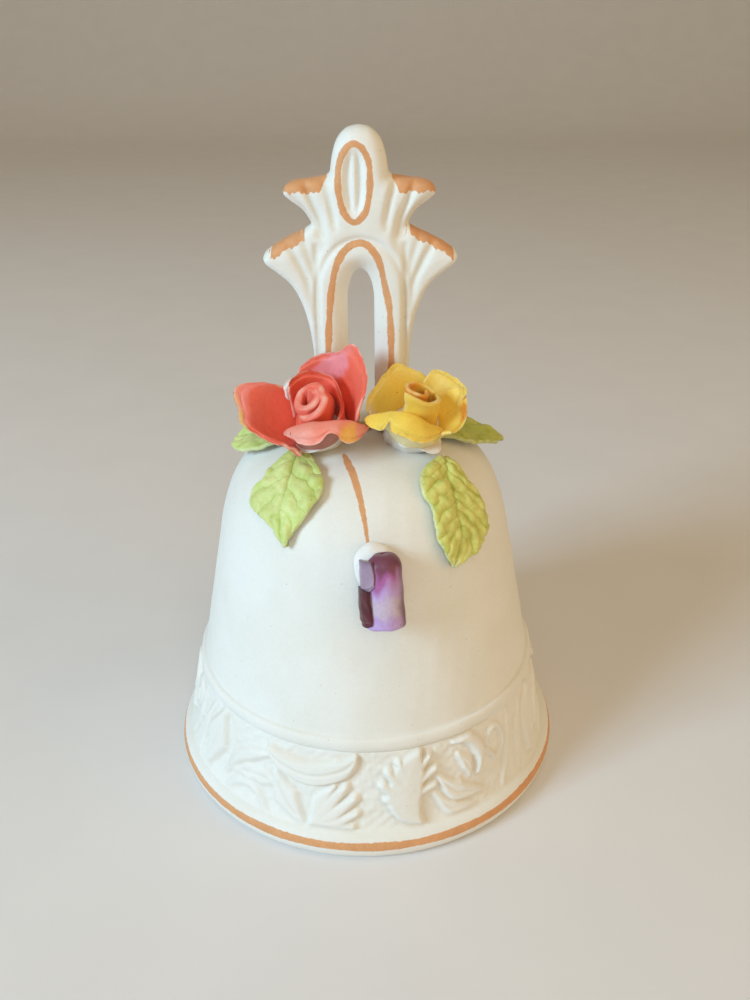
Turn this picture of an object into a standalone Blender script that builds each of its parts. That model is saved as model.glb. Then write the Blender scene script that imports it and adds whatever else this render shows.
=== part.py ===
"""A bisque porcelain bell: moulded handle, two roses, four leaves, a hanging bud and a wire-hung clapper.

Metres, +Z up. The origin is on the bell's axis, in the plane that the lip stands on. -Y is the front.
"""

import math

import bmesh
import bpy
from mathutils import Matrix, Vector

MM = 0.001
GAP = 0.3 * MM

# Cup: the outer profile, the wall and the pin hole.
LIP_RADIUS = 40.5 * MM
LIP_FOOT = 38.2 * MM
LIP_FOOT_WIDTH = 1.6 * MM
LIP_HEIGHT = 6.4 * MM
BAND_FOOT_RADIUS = 37.5 * MM
BAND_TOP = 21.6 * MM
BAND_TOP_RADIUS = 34.4 * MM
BEAD_HEIGHT = 3.0 * MM
BEAD_PROUD = 0.8 * MM
WALL_TOP = 50.0 * MM
WALL_TOP_RADIUS = 28.9 * MM
CROWN_TOP = 71.7 * MM
SHOULDER_POWER = 3.5
WALL = 3.1 * MM
INNER_HEIGHTS = (8.0 * MM, 22.0 * MM, 36.0 * MM, 50.0 * MM)
LIP_ROLL_DEPTH = 2.6 * MM
LIP_ROLL_HEIGHT = 2.9 * MM
LIP_COVE_HEIGHT = 1.2 * MM
BEAD_STEP = 0.5 * MM
PIN_HOLE_RADIUS = 0.95 * MM
PIN_CLEARANCE = 0.1 * MM
TURN_STEPS = 64

# Handle: a slab with its outline in the XZ plane.
HANDLE_TOP = 126.0 * MM
HANDLE_THICKNESS = 7.6 * MM
HANDLE_ROUNDING = 1.6 * MM
OPENING_WIDTH = 4.7 * MM
OPENING_TOP = 103.2 * MM
OPENING_ARCH_RISE = 2.4

# Flowers, leaves and bud.
PETAL = 1.0 * MM
LEAF = 1.2 * MM
ROSE_TILT = 24.0
PAD_HEIGHT = 3.0 * MM
PAD_RADIUS = 4.8 * MM
BUD_CLEARANCE = 1.9 * MM
CALYX_TILT = 64.0

# Hanger pin and clapper.
PIVOT_HEIGHT = 62.0 * MM
WIRE = 0.6 * MM
PIN_HEAD_RADIUS = 1.7 * MM
PIN_HEAD_HEIGHT = 0.9 * MM
EYE_RADIUS = 2.4 * MM
LOOP_RADIUS = 1.5 * MM
BALL_RADIUS = 6.0 * MM
BALL_HEIGHT = 22.0 * MM
BALL_BORE = 0.9 * MM
STOP_RADIUS = 1.6 * MM
STOP_HEIGHT = 1.6 * MM

COLOURS = {
    "bisque": (0.86, 0.87, 0.84),
    "coral": (0.72, 0.17, 0.09),
    "white_petal": (0.84, 0.80, 0.76),
    "yellow": (0.80, 0.50, 0.08),
    "leaf_green": (0.46, 0.58, 0.17),
    "lilac": (0.36, 0.20, 0.42),
    "maroon": (0.12, 0.02, 0.04),
    "brass": (0.72, 0.55, 0.27),
}


# ---------------------------------------------------------------- scene and meshes


def clear_scene():
    for obj in list(bpy.data.objects):
        bpy.data.objects.remove(obj, do_unlink=True)


def collection(name, hidden=False):
    made = bpy.data.collections.new(name)
    bpy.context.scene.collection.children.link(made)
    made.hide_render = hidden
    return made


def material(name):
    made = bpy.data.materials.get(name)
    if made is None:
        made = bpy.data.materials.new(name)
        made.use_nodes = True
        shader = made.node_tree.nodes["Principled BSDF"]
        metal = name == "brass"
        shader.inputs["Base Color"].default_value = (*COLOURS[name], 1.0)
        shader.inputs["Metallic"].default_value = 1.0 if metal else 0.0
        shader.inputs["Roughness"].default_value = 0.3 if metal else 0.6
    return made


def add_object(name, mesh, finish=None):
    """A new object in the bell's collection, or in the cutters' when it has no finish."""
    obj = bpy.data.objects.new(name, mesh)
    if finish is None:
        CUTTERS.objects.link(obj)
        obj.hide_render = True
        obj.display_type = "WIRE"
    else:
        BELL.objects.link(obj)
        mesh.materials.append(material(finish))
    return obj


def mesh_from(name, shape):
    shape.normal_update()
    mesh = bpy.data.meshes.new(name)
    shape.to_mesh(mesh)
    shape.free()
    return mesh


def boolean(obj, other, operation):
    modifier = obj.modifiers.new(operation.lower(), "BOOLEAN")
    modifier.operation = operation
    modifier.object = other


def smooth(obj, degrees=40):
    obj.data.shade_smooth()
    obj.data.set_sharp_from_angle(angle=math.radians(degrees))


def turned(name, profile, finish=None, steps=TURN_STEPS, closed=True):
    """A body turned about Z from (radius, height) points that run down its outer side."""
    shape = bmesh.new()
    points = [shape.verts.new((radius, 0.0, height)) for radius, height in profile]
    pairs = zip(points, points[1:] + points[:1]) if closed else zip(points, points[1:])
    for first, second in pairs:
        shape.edges.new((first, second))
    obj = add_object(name, mesh_from(name, shape), finish)
    screw = obj.modifiers.new("turn", "SCREW")
    screw.steps = screw.render_steps = steps
    screw.use_merge_vertices = True
    screw.merge_threshold = 0.00001
    screw.use_smooth_shade = True
    return obj


def sheet(name, place, columns, rows, thickness, finish):
    """A curved sheet: place(s, t) gives the point for s in -1..1 across and t in 0..1 along."""
    shape = bmesh.new()
    bmesh.ops.create_grid(shape, x_segments=columns, y_segments=rows, size=1.0)
    for vert in shape.verts:
        vert.co = place(vert.co.x, (vert.co.y + 1) / 2)
    obj = add_object(name, mesh_from(name, shape), finish)
    solid = obj.modifiers.new("thickness", "SOLIDIFY")
    solid.thickness = thickness
    solid.offset = 0.0
    obj.data.shade_smooth()
    return obj


def lump(name, centre, radii, turn, finish):
    """A rounded mound of slip: a sphere squashed to the three radii and turned."""
    shape = bmesh.new()
    bmesh.ops.create_uvsphere(shape, u_segments=16, v_segments=8, radius=1.0)
    placed = Matrix.Translation(centre) @ turn @ Matrix.Diagonal((*radii, 1.0))
    bmesh.ops.transform(shape, matrix=placed, verts=shape.verts)
    obj = add_object(name, mesh_from(name, shape), finish)
    smooth(obj)
    return obj


def cylinder(name, radius, low, high, finish=None, segments=16):
    shape = bmesh.new()
    bmesh.ops.create_cone(
        shape, cap_ends=True, segments=segments, radius1=radius, radius2=radius, depth=high - low
    )
    bmesh.ops.translate(shape, vec=(0, 0, (low + high) / 2), verts=shape.verts)
    return add_object(name, mesh_from(name, shape), finish)


def ring(name, major, minor, centre, axis):
    """A hidden wire ring whose axis is the named world axis, ready to be joined to a shaft."""
    bpy.ops.mesh.primitive_torus_add(
        major_radius=major, minor_radius=minor, major_segments=24, minor_segments=8
    )
    made = bpy.context.object
    turns = {"X": Matrix.Rotation(math.pi / 2, 4, "Y"), "Y": Matrix.Rotation(math.pi / 2, 4, "X")}
    made.data.transform(Matrix.Translation(centre) @ turns[axis])
    obj = add_object(name, made.data)
    bpy.data.objects.remove(made)
    return obj


# ---------------------------------------------------------------- cup


def arc(centre, radii, start, end, steps):
    """Points on an ellipse's arc in (radius, height), angles in degrees from the outward direction."""
    found = []
    for step in range(steps + 1):
        angle = math.radians(start + (end - start) * step / steps)
        found.append((centre[0] + radii[0] * math.cos(angle), centre[1] + radii[1] * math.sin(angle)))
    return found


def wall_radius(height):
    """Outer radius of the plain wall and the shoulder, without the bead and the band."""
    slope = (BAND_TOP_RADIUS - BEAD_STEP - WALL_TOP_RADIUS) / (WALL_TOP - BAND_TOP - BEAD_HEIGHT)
    line = WALL_TOP_RADIUS + (WALL_TOP - height) * slope
    rise = max(0.0, (height - WALL_TOP) / (CROWN_TOP - WALL_TOP))
    return line * max(0.0, 1 - rise**SHOULDER_POWER) ** (1 / SHOULDER_POWER)


def shoulder_heights(steps):
    """Heights from the crown down to the top of the straight wall, closer together near the crown."""
    top = CROWN_TOP - WALL_TOP
    parts = [(step / steps) ** 1.6 for step in range(1, steps + 1)]
    return [WALL_TOP + top * math.sin(math.pi / 2 * (1 - part)) for part in parts]


def outer_profile():
    """(radius, height) from the axis down the outside to the top of the lip."""
    points = [(wall_radius(height), height) for height in shoulder_heights(9)]
    bead_top = BAND_TOP + BEAD_HEIGHT
    for step in (1, 2, 3):
        height = WALL_TOP + (bead_top - WALL_TOP) * step / 3
        points.append((wall_radius(height), height))
    middle = BAND_TOP + BEAD_HEIGHT / 2
    points += arc((BAND_TOP_RADIUS - GAP, middle), (BEAD_PROUD, BEAD_HEIGHT / 2), 60, -60, 3)
    points.append((BAND_TOP_RADIUS, BAND_TOP))
    for step in (1, 2, 3):
        part = step / 3
        radius = BAND_TOP_RADIUS + (BAND_FOOT_RADIUS - BAND_TOP_RADIUS) * (0.8 * part + 0.2 * part**2)
        points.append((radius, BAND_TOP + (LIP_HEIGHT + LIP_COVE_HEIGHT - BAND_TOP) * part))
    return points


def lip_profile():
    """The rolled lip: a cove, then a half round down to the foot, and in to the inner wall."""
    middle = (LIP_RADIUS - LIP_ROLL_DEPTH, LIP_ROLL_HEIGHT)
    points = arc(middle, (LIP_ROLL_DEPTH, LIP_ROLL_HEIGHT), 60, -90, 5)
    inner_edge = LIP_FOOT - LIP_FOOT_WIDTH / 2
    chamfer = 2 * GAP
    points[-1] = (LIP_FOOT + LIP_FOOT_WIDTH / 2, 0.0)
    points.append((inner_edge, 0.0))
    points.append((inner_edge - chamfer, chamfer))
    return points


def inner_profile():
    """(radius, height) up the inside, from the lip to the edge of the pin hole."""
    points = []
    for height in INNER_HEIGHTS:
        outer = wall_radius(height)
        if height < BAND_TOP:
            part = (BAND_TOP - height) / BAND_TOP
            outer = BAND_TOP_RADIUS + (BAND_FOOT_RADIUS - BAND_TOP_RADIUS) * part
        points.append((outer - WALL, height))
    top = CROWN_TOP - WALL - WALL_TOP
    foot = wall_radius(WALL_TOP) - WALL
    for step in range(1, 7):
        angle = math.pi / 2 * step / 7
        bend = 2 / SHOULDER_POWER
        points.append((foot * math.cos(angle) ** bend, WALL_TOP + top * math.sin(angle) ** bend))
    return points


def make_bell_shell():
    profile = [(PIN_HOLE_RADIUS, CROWN_TOP)] + outer_profile() + lip_profile() + inner_profile()
    profile.append((PIN_HOLE_RADIUS, CROWN_TOP - WALL))
    shell = turned("bell_shell", profile, "bisque")
    shell.data.shade_smooth()
    return shell


def surface_table():
    """The plain outside from the axis to the top of the band, in short straight steps."""
    steps = 160
    points = [(0.0, CROWN_TOP)]
    for step in range(1, steps + 1):
        rise = math.cos(math.pi / 2 * step / steps) ** 0.6
        height = WALL_TOP + (CROWN_TOP - WALL_TOP) * rise
        points.append((wall_radius(height), height))
    points.append((wall_radius(BAND_TOP), BAND_TOP))
    return points


def meridian(along):
    """Radius, height and outward direction of the outside, along metres down it from the axis."""
    run = 0.0
    for (radius_a, height_a), (radius_b, height_b) in zip(SURFACE, SURFACE[1:]):
        step = Vector((radius_b - radius_a, height_b - height_a))
        if run + step.length >= along:
            break
        run += step.length
    part = (along - run) / step.length
    out = Vector((-step.y, step.x)).normalized()
    return radius_a + step.x * part, height_a + step.y * part, out


def surface(along, sideways, lift):
    """The point lift above the outside, along metres down it and sideways radians from the front."""
    radius, height, out = meridian(along)
    radius += lift * out.x
    height += lift * out.y
    return Vector((radius * math.sin(sideways), -radius * math.cos(sideways), height))


# ---------------------------------------------------------------- handle


def handle_outline():
    """Right half of the outline in mm, from the top of the knob down to the foot."""
    foot = (CROWN_TOP + GAP) / MM
    top = HANDLE_TOP / MM
    return [
        (0.0, top), (2.0, top - 0.5), (3.5, top - 2.0), (4.4, top - 4.2), (4.9, top - 7.4),
        (8.0, 117.0), (11.2, 117.0), (12.9, 115.4), (11.4, 114.2), (9.7, 112.6), (8.5, 110.9),
        (10.6, 108.7), (13.4, 107.6), (15.9, 106.5), (17.0, 104.9), (15.6, 103.2), (13.9, 101.2),
        (12.2, 98.8), (10.9, 96.2), (9.9, 93.2), (9.1, 89.6), (8.7, 85.0), (8.7, 79.0), (9.4, foot),
    ]  # fmt: skip


def make_handle():
    """The outline, filled and extruded, with the arch opening left out of it."""
    foot = CROWN_TOP + GAP
    right = [(x * MM, z * MM) for x, z in handle_outline()]
    left = [(-x, z) for x, z in reversed(right)]
    half = OPENING_WIDTH / 2
    opening = [(-half, foot)]
    rise = OPENING_ARCH_RISE * half
    opening += arc((0.0, OPENING_TOP - rise), (half, rise), 180, 0, 10)
    opening.append((half, foot))
    curve = bpy.data.curves.new("handle", "CURVE")
    curve.dimensions = "2D"
    curve.fill_mode = "BOTH"
    curve.extrude = HANDLE_THICKNESS / 2
    spline = curve.splines.new("POLY")
    outline = left[:-1] + right + opening[::-1]
    spline.points.add(len(outline) - 1)
    for point, (x, z) in zip(spline.points, outline):
        point.co = (x, z, 0.0, 1.0)
    spline.use_cyclic_u = True
    flat = bpy.data.objects.new("handle_curve", curve)
    BELL.objects.link(flat)
    flat.matrix_world = Matrix.Rotation(math.pi / 2, 4, "X")
    bpy.context.view_layer.update()
    made = bpy.data.meshes.new_from_object(flat.evaluated_get(bpy.context.evaluated_depsgraph_get()))
    made.transform(flat.matrix_world)
    bpy.data.objects.remove(flat)
    shape = bmesh.new()
    shape.from_mesh(made)
    bmesh.ops.remove_doubles(shape, verts=shape.verts, dist=0.00001)
    bmesh.ops.dissolve_limit(
        shape, angle_limit=math.radians(1), verts=shape.verts, edges=shape.edges
    )
    bmesh.ops.recalc_face_normals(shape, faces=shape.faces)
    handle = add_object("handle", mesh_from("handle", shape), "bisque")
    rounding = handle.modifiers.new("rounding", "BEVEL")
    rounding.width = HANDLE_ROUNDING
    rounding.segments = 2
    rounding.limit_method = "ANGLE"
    rounding.angle_limit = math.radians(60)
    smooth(handle)
    return handle


# ---------------------------------------------------------------- petals, pads and leaves


def flower_frame(base, tilt, side):
    """Axes of a flower: X to the right, Y up its face, Z along its axis; tilt leans it to the front."""
    axis = Vector((math.sin(math.radians(side)), 0.0, math.cos(math.radians(side))))
    axis = Matrix.Rotation(math.radians(tilt), 3, "X") @ axis
    right = Vector((1, 0, 0)) - axis * axis.x
    right.normalize()
    up = axis.cross(right)
    turn = Matrix((right, up, axis)).transposed().to_4x4()
    return Matrix.Translation(Vector(base) * MM) @ turn


def bent_middle(reach, lean, curl, power, t):
    """(radius, height) gained and the angle reached at t along a petal's middle, all bends in radians."""
    steps = 8
    radius = height = 0.0
    for step in range(steps):
        bend = lean + curl * (t * (step + 0.5) / steps) ** power
        radius += reach * t / steps * math.sin(bend)
        height += reach * t / steps * math.cos(bend)
    return radius, height, lean + curl * t**power


def petal_place(
    frame, turn, lean, curl, length, start, width, cup, foot=0.6, drop=0.2, roll=0.4, skew=0.0, power=1
):
    """A petal's shape in a flower's frame, as a function for sheet().

    turn is where it stands round the axis, lean its angle to the axis at its foot, and curl how far it bends
    outwards by its tip, late for a high power, all in degrees. length is along its middle, start its foot's
    radius and height, width its half width, cup the radius of its cross-section, foot its width there as a
    part of width, drop how much shorter its sides are, roll how far its edge turns out, and skew how much
    one side is longer. Sizes are in mm.
    """
    lean, curl, turn = (math.radians(value) for value in (lean, curl, turn))
    out = Vector((math.cos(turn), math.sin(turn), 0))
    across = Vector((-math.sin(turn), math.cos(turn), 0))
    axis = Vector((0, 0, 1))

    def place(s, t):
        reach = length * (1 - drop * abs(s) ** 2.5 + skew * s)
        radius, height, bend = bent_middle(reach, lean, curl, power, t)
        inward = axis * math.sin(bend) - out * math.cos(bend)
        half = width * (foot + (1 - foot) * math.sin(math.pi / 2 * min(1, t / 0.65)))
        angle = s * half / cup
        turned_out = roll * max(0, (t - 0.6) / 0.4) ** 2
        point = out * (start[0] + radius) + axis * (start[1] + height) + across * cup * math.sin(angle)
        point += inward * (cup * (1 - math.cos(angle)) - turned_out)
        return frame @ (point * MM)

    return place


def roll_place(frame, start, turn, inner, outer, foot, height, slope=0.1, taper=0.1):
    """A strip rolled into a spiral, as a function for sheet(): angles in degrees and sizes in mm."""

    def place(s, t):
        part = (s + 1) / 2
        angle = math.radians(start + turn * part)
        radius = (inner + (outer - inner) * part) * (1 - taper * t)
        reach = height * (1 - slope * part)
        point = Vector((radius * math.cos(angle), radius * math.sin(angle), foot + reach * t))
        return frame @ (point * MM)

    return place


RED_ROSE = {
    "base": (-9.4, -7.6, 71.9),
    "side": -3,
    "core": {"start": 200, "turn": 560, "inner": 1.0, "outer": 3.6, "foot": 4.2, "height": 9.6},
    "petals": {
        "wrap": {
            "turn": 45, "lean": 1, "curl": 8, "length": 9.8, "start": (5.0, 4.0),
            "width": 7.2, "cup": 5.3, "foot": 0.9, "drop": 0.1, "roll": 0.2,
        },
        "left": {
            "turn": 180, "lean": 50, "curl": 20, "length": 8.8, "start": (4.8, 5.0),
            "width": 6.4, "cup": 8.0, "foot": 0.6, "drop": 0.18, "roll": 0.8,
        },
        "back": {
            "turn": 50, "lean": 4, "curl": 18, "length": 13.4, "start": (6.3, 3.4),
            "width": 7.4, "cup": 8.0, "foot": 0.55, "drop": 0.28, "roll": 0.5, "skew": -0.06,
        },
        "rear": {
            "turn": 116, "lean": 8, "curl": 16, "length": 8.4, "start": (7.6, 3.6),
            "width": 2.6, "cup": 7.5, "drop": 0.3,
        },
        "front": {
            "turn": 292, "lean": 0, "curl": 100, "length": 7.4, "start": (6.2, 3.4),
            "width": 7.0, "cup": 8.0, "foot": 0.75, "drop": 0.1, "roll": 0.0, "power": 2.5,
        },
    },
    "behind": ("back", "rear"),
    "finish": "coral",
}  # fmt: skip
YELLOW_ROSE = {
    "base": (9.3, -7.6, 71.8),
    "side": 3,
    "core": {"start": 250, "turn": 560, "inner": 1.1, "outer": 4.0, "foot": 4.2, "height": 9.2},
    "petals": {
        "left": {
            "turn": 141, "lean": 4, "curl": 20, "length": 10.8, "start": (5.5, 3.4),
            "width": 6.6, "cup": 7.4, "foot": 0.55, "drop": 0.36, "roll": 0.5,
        },
        "back": {
            "turn": 44, "lean": 8, "curl": 24, "length": 8.8, "start": (5.8, 3.8),
            "width": 4.4, "cup": 6.8, "drop": 0.25,
        },
        "right": {
            "turn": 338, "lean": 34, "curl": 24, "length": 6.0, "start": (5.9, 6.0),
            "width": 4.0, "cup": 7.0, "drop": 0.25, "roll": 0.6,
        },
        "front": {
            "turn": 251, "lean": 0, "curl": 100, "length": 7.2, "start": (7.0, 3.6),
            "width": 7.2, "cup": 8.2, "foot": 0.75, "drop": 0.1, "roll": 0.0, "power": 2.5,
        },
    },
    "behind": ("left", "back"),
    "finish": "yellow",
}  # fmt: skip


def make_rose(name, rose):
    frame = flower_frame(rose["base"], ROSE_TILT, rose["side"])
    finish = rose["finish"]
    sheet(f"{name}_core", roll_place(frame, **rose["core"]), 28, 2, PETAL * 0.9, finish)
    for petal, shape in rose["petals"].items():
        worn = "white_petal" if petal == "rear" else finish
        made = sheet(f"{name}_{petal}_petal", petal_place(frame, **shape), 8, 6, PETAL, worn)
        if petal in rose["behind"]:
            boolean(made, HANDLE_CLEARANCE, "DIFFERENCE")
    radii = (PAD_RADIUS, PAD_RADIUS, PAD_HEIGHT)
    pad = lump(f"{name}_pad", frame.translation, radii, frame.to_3x3().to_4x4(), "bisque")
    boolean(pad, CROWN_CLEARANCE, "DIFFERENCE")
    boolean(pad, HANDLE_CLEARANCE, "DIFFERENCE")


def leaf_place(along, sideways, turn, length, width, lift, tip_lift, lobes, fold=0.0):
    """A pressed leaf that follows the cup, as a function for sheet().

    It starts along mm down the meridian at an angle of sideways degrees, and points turn degrees from
    straight down. lift raises all of it, tip_lift its tip, and fold its two edges. lobes waves its edge.
    """
    turn = math.radians(turn)
    sideways = math.radians(sideways)

    def place(s, t):
        half = width * math.sin(math.pi * (0.07 + 0.91 * t**0.7)) ** 0.9
        half *= 1 + 0.08 * math.cos(2 * math.pi * lobes * t)
        ahead = length * t
        across = half * s
        down = along + ahead * math.cos(turn) - across * math.sin(turn)
        right = ahead * math.sin(turn) + across * math.cos(turn)
        raised = lift + tip_lift * t**2.5 + fold * abs(s) ** 1.5 * math.sin(math.pi * t)
        radius, _, _ = meridian(down * MM)
        return surface(down * MM, sideways + right * MM / radius, raised * MM)

    return place


LEAVES = {
    "leaf_front_left": {
        "along": 17.0, "sideways": -38, "turn": 6, "length": 15.5, "width": 6.6,
        "lift": 1.1, "tip_lift": 0.4, "lobes": 5, "fold": 0.3,
    },
    "leaf_front_right": {
        "along": 17.6, "sideways": 43, "turn": -3, "length": 19.5, "width": 5.8,
        "lift": 1.1, "tip_lift": 0.3, "lobes": 6, "fold": 0.3,
    },
    "leaf_side_left": {
        "along": 13.6, "sideways": -84, "turn": 0, "length": 10.5, "width": 4.2,
        "lift": 1.2, "tip_lift": 0.8, "lobes": 4, "fold": 0.4,
    },
    "leaf_side_right": {
        "along": 12.6, "sideways": 86, "turn": 4, "length": 12.5, "width": 3.8,
        "lift": 1.2, "tip_lift": 2.4, "lobes": 4, "fold": 0.4,
    },
}  # fmt: skip


def make_leaves():
    for name, shape in LEAVES.items():
        sheet(name, leaf_place(**shape), 6, 12, LEAF, "leaf_green")


BUD_BASE = (3.2, -29.6, 62.2)
BUD_LEAN = 163.0
BUD_SIDE = 3.0
BUD_ROLL = {
    "start": 200, "turn": 500, "inner": 1.2, "outer": 3.3, "foot": 0.8, "height": 13.0,
    "slope": 0.0, "taper": -0.06,
}  # fmt: skip
BUD_SIDE_PETAL = {
    "turn": 150, "lean": 2, "curl": 10, "length": 5.2, "start": (4.5, 1.2),
    "width": 2.6, "cup": 4.8, "drop": 0.3,
}  # fmt: skip
BUD_STRIP_PETAL = {
    "turn": 156, "lean": 4, "curl": 4, "length": 6.6, "start": (4.6, 7.0),
    "width": 2.4, "cup": 4.8, "drop": 0.15,
}  # fmt: skip
CALYX_ALONG = 30.5
CALYX_SIDEWAYS = 0.5
CALYX_RADII = (2.9, 4.0, 2.6)


def make_bud():
    """A bud that hangs head down against the wall, under a mound of slip."""
    frame = flower_frame(BUD_BASE, BUD_LEAN, BUD_SIDE)
    sheet("bud_main_petal", roll_place(frame, **BUD_ROLL), 26, 3, PETAL, "lilac")
    sheet("bud_side_petal", petal_place(frame, **BUD_SIDE_PETAL), 4, 5, PETAL * 0.8, "lilac")
    sheet("bud_strip_petal", petal_place(frame, **BUD_STRIP_PETAL), 4, 5, PETAL * 0.8, "maroon")
    radius = BUD_ROLL["outer"] * MM + BUD_CLEARANCE
    room = cylinder("bud_clearance", radius, 0.5 * MM, 20 * MM, segments=24)
    room.data.transform(frame)
    point = surface(CALYX_ALONG * MM, math.radians(CALYX_SIDEWAYS), 0.0)
    tilt = Matrix.Rotation(math.radians(CALYX_TILT), 4, "X")
    calyx = lump("bud_calyx", point, [radius * MM for radius in CALYX_RADII], tilt, "bisque")
    boolean(calyx, CROWN_CLEARANCE, "DIFFERENCE")
    boolean(calyx, room, "DIFFERENCE")


# ---------------------------------------------------------------- hanger pin and clapper


def make_hanger_pin():
    """A headed wire pin: its head rests on the crown, and its eye hangs inside, in the XZ plane."""
    eye_centre = PIVOT_HEIGHT + EYE_RADIUS
    shaft_foot = eye_centre + EYE_RADIUS - WIRE / 2
    head_foot = CROWN_TOP + GAP
    shaft_radius = PIN_HOLE_RADIUS - PIN_CLEARANCE
    profile = arc((0.0, head_foot), (PIN_HEAD_RADIUS, PIN_HEAD_HEIGHT), 90, 0, 4)
    profile[0] = (0.0, head_foot + PIN_HEAD_HEIGHT)
    profile += [(shaft_radius, head_foot), (shaft_radius, shaft_foot), (0.0, shaft_foot)]
    pin = turned("hanger_pin", profile, "brass", steps=24, closed=False)
    boolean(pin, ring("eye_ring", EYE_RADIUS, WIRE, (0, 0, eye_centre), "Y"), "UNION")
    return pin


def make_clapper():
    """A wire whose loop turns on the foot of the pin's eye, and a bead above a stop at its end."""
    swing = bpy.data.objects.new("clapper_swing", None)
    BELL.objects.link(swing)
    swing.location = (0, 0, PIVOT_HEIGHT)
    loop_foot = -LOOP_RADIUS + WIRE / 2
    end = BALL_HEIGHT - BALL_RADIUS - GAP - PIVOT_HEIGHT
    foot = end - STOP_HEIGHT
    wire = cylinder("clapper_wire", WIRE, foot + WIRE / 2, loop_foot, "brass", segments=12)
    boolean(wire, ring("loop_ring", LOOP_RADIUS, WIRE, (0, 0, 0), "X"), "UNION")
    stop = cylinder("stop_bead", STOP_RADIUS, foot, end)
    boolean(wire, stop, "UNION")
    smooth(wire)
    start = math.degrees(math.asin(BALL_BORE / BALL_RADIUS))
    profile = arc((0.0, BALL_HEIGHT - PIVOT_HEIGHT), (BALL_RADIUS, BALL_RADIUS), 90 - start, start - 90, 10)
    ball = turned("clapper_ball", profile, "bisque", steps=24)
    for obj in (wire, ball):
        obj.parent = swing
    for name in ("loop_ring", "stop_bead"):
        bpy.data.objects[name].parent = swing


# ---------------------------------------------------------------- clearances


def crown_clearance():
    """The cup's outside, filled in and swollen by the gap, to cut what is stuck on it."""
    profile = [(0.0, CROWN_TOP + GAP)]
    for radius, height in SURFACE[1::4]:
        raised = max(0.0, (height - WALL_TOP) / (CROWN_TOP - WALL_TOP))
        profile.append((radius + GAP, height + GAP * raised))
    profile.append((0.0, profile[-1][1]))
    return turned("crown_clearance", profile, closed=False)


def handle_clearance():
    """A block that holds the handle's legs and the gap in front of them."""
    shape = bmesh.new()
    bmesh.ops.create_cube(shape, size=1.0)
    width, depth, height = 60 * MM, 20 * MM, 40 * MM
    front = -HANDLE_THICKNESS / 2 - GAP
    middle = (0, front + depth / 2, CROWN_TOP + height / 4)
    placed = Matrix.Translation(middle) @ Matrix.Diagonal((width, depth, height, 1.0))
    bmesh.ops.transform(shape, matrix=placed, verts=shape.verts)
    return add_object("handle_clearance", mesh_from("handle_clearance", shape))


clear_scene()
BELL = collection("porcelain_bell")
CUTTERS = collection("cutters", hidden=True)
SURFACE = surface_table()
CROWN_CLEARANCE = crown_clearance()
HANDLE_CLEARANCE = handle_clearance()
make_bell_shell()
make_handle()
make_rose("red_rose", RED_ROSE)
make_rose("yellow_rose", YELLOW_ROSE)
make_leaves()
make_bud()
make_hanger_pin()
make_clapper()
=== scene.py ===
"""The looks of a bisque porcelain bell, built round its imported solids. Metres, +Z up, -Y to the front."""

import math

import bmesh
import bpy
import numpy as np
from mathutils import Matrix, Vector


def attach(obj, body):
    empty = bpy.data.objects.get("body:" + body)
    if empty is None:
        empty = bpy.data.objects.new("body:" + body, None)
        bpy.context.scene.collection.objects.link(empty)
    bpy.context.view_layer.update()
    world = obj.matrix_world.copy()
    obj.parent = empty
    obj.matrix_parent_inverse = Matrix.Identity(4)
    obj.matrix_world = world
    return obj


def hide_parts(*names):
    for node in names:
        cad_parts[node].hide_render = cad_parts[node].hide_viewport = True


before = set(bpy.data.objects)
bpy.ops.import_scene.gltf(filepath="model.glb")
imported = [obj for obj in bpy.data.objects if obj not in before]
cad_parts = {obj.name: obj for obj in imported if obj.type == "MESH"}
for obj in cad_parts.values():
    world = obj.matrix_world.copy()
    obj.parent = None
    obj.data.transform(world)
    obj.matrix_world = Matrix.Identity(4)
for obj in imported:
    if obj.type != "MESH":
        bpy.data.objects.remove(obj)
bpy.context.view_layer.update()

MM = 0.001

# Cup, in mm, as the solids have it.
LIP_RADIUS = 40.5
LIP_ROLL = (2.6, 2.9)
LIP_TOP = 6.4
BAND_FOOT = 7.6
BAND_FOOT_RADIUS = 37.5
BAND_TOP = 21.6
BAND_TOP_RADIUS = 34.4
BEAD_HEIGHT = 3.0
BEAD_PROUD = 0.8
WALL_TOP = 50.0
WALL_TOP_RADIUS = 28.9
CROWN_TOP = 71.7
SHOULDER_POWER = 3.5
WALL = 3.1
PIN_HOLE = 0.95
TURN_STEPS = 840

# Handle, in mm.
HANDLE_HALF = 3.8
OPENING_HALF = 2.35
LOOKS_OPENING_TOP = 102.6
OPENING_RISE = 2.4 * OPENING_HALF

# Clapper and pin, in mm.
PIVOT = 62.0
WIRE = 0.6
EYE = 2.4
LOOP = 1.5
BALL = 6.0
BALL_HEIGHT = 22.0
BALL_BORE = 0.9
STOP = 1.6

LENS = 34.2
PITCH = 27.64
YAW = 0.75
ROLL = -0.5


# ---------------------------------------------------------------- colour and small maths


def srgb(red, green, blue):
    """A linear colour from 0-255 display values."""
    values = np.array((red, green, blue)) / 255.0
    return np.where(values <= 0.04045, values / 12.92, ((values + 0.055) / 1.055) ** 2.4)


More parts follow.
